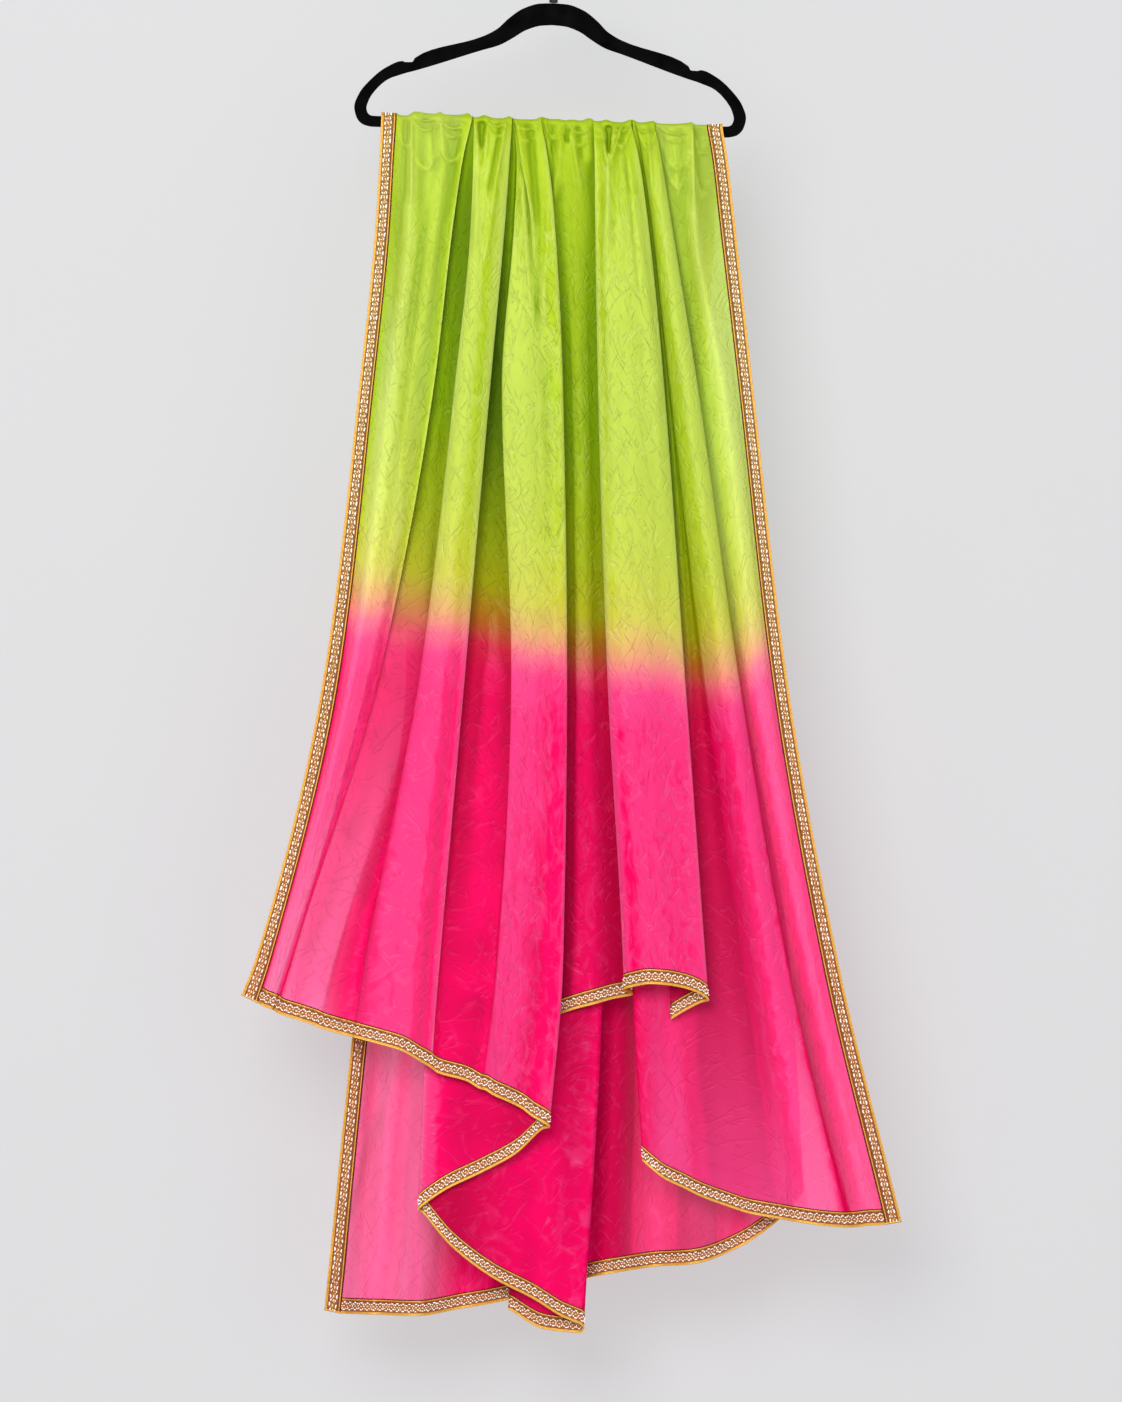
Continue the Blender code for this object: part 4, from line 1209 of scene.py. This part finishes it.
def silk():
    n = Nodes("sheer_silk")
    place = n.math("ADD", n.scale(n.noise(n.uv(1, 0.6), 24, 4), 0.05, -0.025), n.value("dye"))
    dense, shaded, veiled_and_lit = (n.ramp(place, stops) for stops in (DENSE, SHADED, VEILED_AND_LIT))
    crease, deep, tone = crushed(n), n.value("deep"), n.value("tone")

    # Clearer streaks run down the see-through folds.
    streak = n.scale(n.noise(n.uv(1, 0.07), 42, 3), 1.6, 0.2)
    sheer = n.scale(n.value("sheer"), streak, clamp=True)
    sheer = n.scale(sheer, n.scale(crease, -0.5, 1.0))

    # Painted shade: the folds' shade and the hollows of the relief turn the colour towards the shaded dye, and the
    # deepest pits are darkened further.
    hollow = n.scale(n.scale(tone, -1.0, clamp=True), 0.75)
    shade = n.math("ADD", n.math("MAXIMUM", deep, 0.0), hollow, clamp=True)
    colour = n.mix(shade, dense, shaded)
    darkest = n.math("SUBTRACT", deep, 1.0, clamp=True)
    colour = n.mix(darkest, colour, PIT_SHADE, "MULTIPLY")
    # Paler where see-through, which also stands in for the bright wall behind the cloth.
    colour = n.mix(sheer, colour, veiled_and_lit)

    # Painted highlight: long lighter bands on the crests, where light catches them, whose edges follow the creases.
    feather = n.noise(n.uv(1, 0.3), 95, 3, 1.5)
    shine = n.scale(deep, -2.0, clamp=True)
    caught = n.scale(feather, 3.4, n.scale(shine, 1.7, -2.05))
    caught = n.scale(tone, 0.5, caught, clamp=True)
    caught = n.scale(caught, n.math("SUBTRACT", 1.0, shade), clamp=True)
    lit = n.scale(crease, 0.2, n.scale(caught, 0.5), clamp=True)
    colour = n.mix(lit, colour, veiled_and_lit)

    # Painted highlight: the folds' edges and the creases on the crests are brighter still.
    edge = n.math("POWER", n.scale(deep, -1.0, clamp=True), 6.0)
    glint = n.scale(crease, n.scale(caught, 0.4, 0.04))
    bright = n.mix(0.12, veiled_and_lit, EDGE_HIGHLIGHT)
    colour = n.mix(n.scale(edge, 0.85, glint, clamp=True), colour, bright)

    relief = n.scale(n.noise(n.uv(2400, 900), 1, 1), 0.06, crease)
    relief = n.scale(n.noise(n.uv(1, 0.3), 60, 3), 0.9, relief)
    bump = n.bump(0.9, 0.0016, relief)
    woven = n.surface(colour, Roughness=0.52, Metallic=0.16, Specular_IOR_Level=0.06, Normal=bump)
    through = n.add("BsdfTranslucent", {0: colour, 1: bump})[0]
    clear = n.add("BsdfTransparent")[0]
    return n.show(n.blend(n.scale(sheer, 0.2), n.blend(0.25, woven, through), clear))


def lace_ground():
    n = Nodes("lace_ground")
    inputs = {0: n.uv(1, 0.018), "Scale": 700}
    net = n.add("TexVoronoi", inputs, feature="DISTANCE_TO_EDGE")[0]
    thread = n.math("DIVIDE", net, 0.2, clamp=True)
    across = n.math("SUBTRACT", n.split(n.uv())[1], 0.05)
    gilt = n.ramp(n.scale(n.noise(n.uv(1, 0.018), 260, 2), 0.10, across), GILT)
    colour = n.mix(thread, n.mix(1.0, gilt, NET_TINT, "MULTIPLY"), gilt)
    # Painted light reflected from the cloth: the lace is tinted green high up and a darker pink lower down.
    low = n.scale(n.split(n.spot())[2], -1.4, -0.7, clamp=True)
    colour = n.mix(1.0, colour, n.mix(low, GREEN_BOUNCE, PINK_BOUNCE), "MULTIPLY")
    return n.show(n.surface(colour, Roughness=0.42, Metallic=0.3, Normal=n.bump(0.6, 0.0006, thread)))


def gold_cord():
    n = Nodes("gold_cord")
    place = n.split(n.uv())
    around = n.scale(place[1], 4 * math.pi, n.scale(place[0], 2 * math.pi / STRAND_PITCH))
    strand = n.scale(n.math("SINE", around), 0.5, 0.5)
    colour = n.ramp(n.scale(n.noise(n.uv(1, 0.01), 500, 3), 0.8, n.scale(strand, 0.3)), CORD_GOLD)
    bump = n.bump(0.25, 0.0003, strand)
    return n.show(n.surface(colour, Roughness=0.36, Metallic=0.35, Normal=bump))


def pearl_bead():
    n = Nodes("pearl_bead")
    peach = n.math("SUBTRACT", n.value("peach"), 0.3)
    colour = n.ramp(n.scale(n.noise(n.spot(), 160, 1), 0.6, peach), PEARL)
    return n.show(n.surface(colour, Roughness=0.3, Specular_IOR_Level=0.6))


def flock():
    n = Nodes("hanger_flocking")
    colour = n.ramp(n.noise(n.spot(), 45, 3), FLOCKING)
    pile = n.bump(0.5, 0.0004, n.noise(n.spot(), 900, 2))
    return n.show(n.surface(colour, Roughness=0.95, Specular_IOR_Level=0.05, Normal=pile))


def painted_wire():
    n = Nodes("painted_wire")
    grain = n.noise(n.spot(), 300, 2)
    rough = n.scale(grain, 0.15, 0.25)
    return n.show(n.surface(n.ramp(grain, WIRE_PAINT), Roughness=rough, Specular_IOR_Level=0.5))


def stage_paint(name, stops, glow):
    """Matt paint that is only there from its front, with some light of its own."""
    n = Nodes(name)
    paint = n.surface(
        n.ramp(n.noise(n.spot(), 3, 3), stops),
        Roughness=0.9,
        Specular_IOR_Level=0.2,
        Emission_Color=STAGE_GLOW,
        Emission_Strength=glow,
    )
    behind = n.add("NewGeometry")["Backfacing"]
    return n.show(n.blend(behind, paint, n.add("BsdfTransparent")[0]))


# ---------------------------------------------------------------- the scene
def camera():
    data = bpy.data.cameras.new("camera")
    made = bpy.data.objects.new("camera", data)
    bpy.context.collection.objects.link(made)
    data.lens = data.sensor_width / 2 * -CAMERA_PLACE[1] / HALF_VIEW
    data.clip_start, data.clip_end = 0.1, 30
    made.location = CAMERA_PLACE
    made.rotation_euler = (math.radians(90), 0, 0)
    bpy.context.scene.camera = made


def lights():
    for light in (Light(*row) for row in LIGHTS):
        data = bpy.data.lights.new(light.name, "AREA")
        data.shape = "RECTANGLE"
        data.size = data.size_y = light.size
        data.energy, data.color = light.watts, light.colour
        made = bpy.data.objects.new(light.name, data)
        made.location = light.place
        aim = Vector(light.target) - Vector(light.place)
        made.rotation_euler = aim.to_track_quat("-Z", "Y").to_euler()
        made.visible_camera = False
        bpy.context.collection.objects.link(made)
    world = bpy.data.worlds.new("studio")
    world.use_nodes = True
    background = world.node_tree.nodes["Background"]
    background.inputs[0].default_value = SKY
    background.inputs[1].default_value = SKY_STRENGTH
    bpy.context.scene.world = world
    bpy.context.scene.view_settings.view_transform = "Standard"


def stage():
    for name, stops, glow, near, far in (
        ("wall", WALL_PAINT, WALL_GLOW, (WALL, GROUND), (WALL, WALL_TOP)),
        ("floor", FLOOR_PAINT, FLOOR_GLOW, (STAGE_FRONT, GROUND), (WALL, GROUND)),
    ):
        ends = ((-STAGE_HALF, far), (-STAGE_HALF, near), (STAGE_HALF, near), (STAGE_HALF, far))
        corners = np.array([(x, y, z) for x, (y, z) in ends])
        made = new_object(name, corners / MM, [(0, 1, 2, 3)], stage_paint(name + "_paint", stops, glow))
        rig.stage(made)
        made.visible_shadow = False


def main():
    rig.load()
    cad_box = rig.bounds()
    camera()
    lights()
    stage()
    hanger_frame()
    hanger_hook()
    dupatta()
    made_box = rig.bounds()
    with open("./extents.json", "w") as file:
        sizes = {"cad": [list(corner) for corner in cad_box]}
        sizes["visual"] = [list(corner) for corner in made_box]
        json.dump(sizes, file)


main()
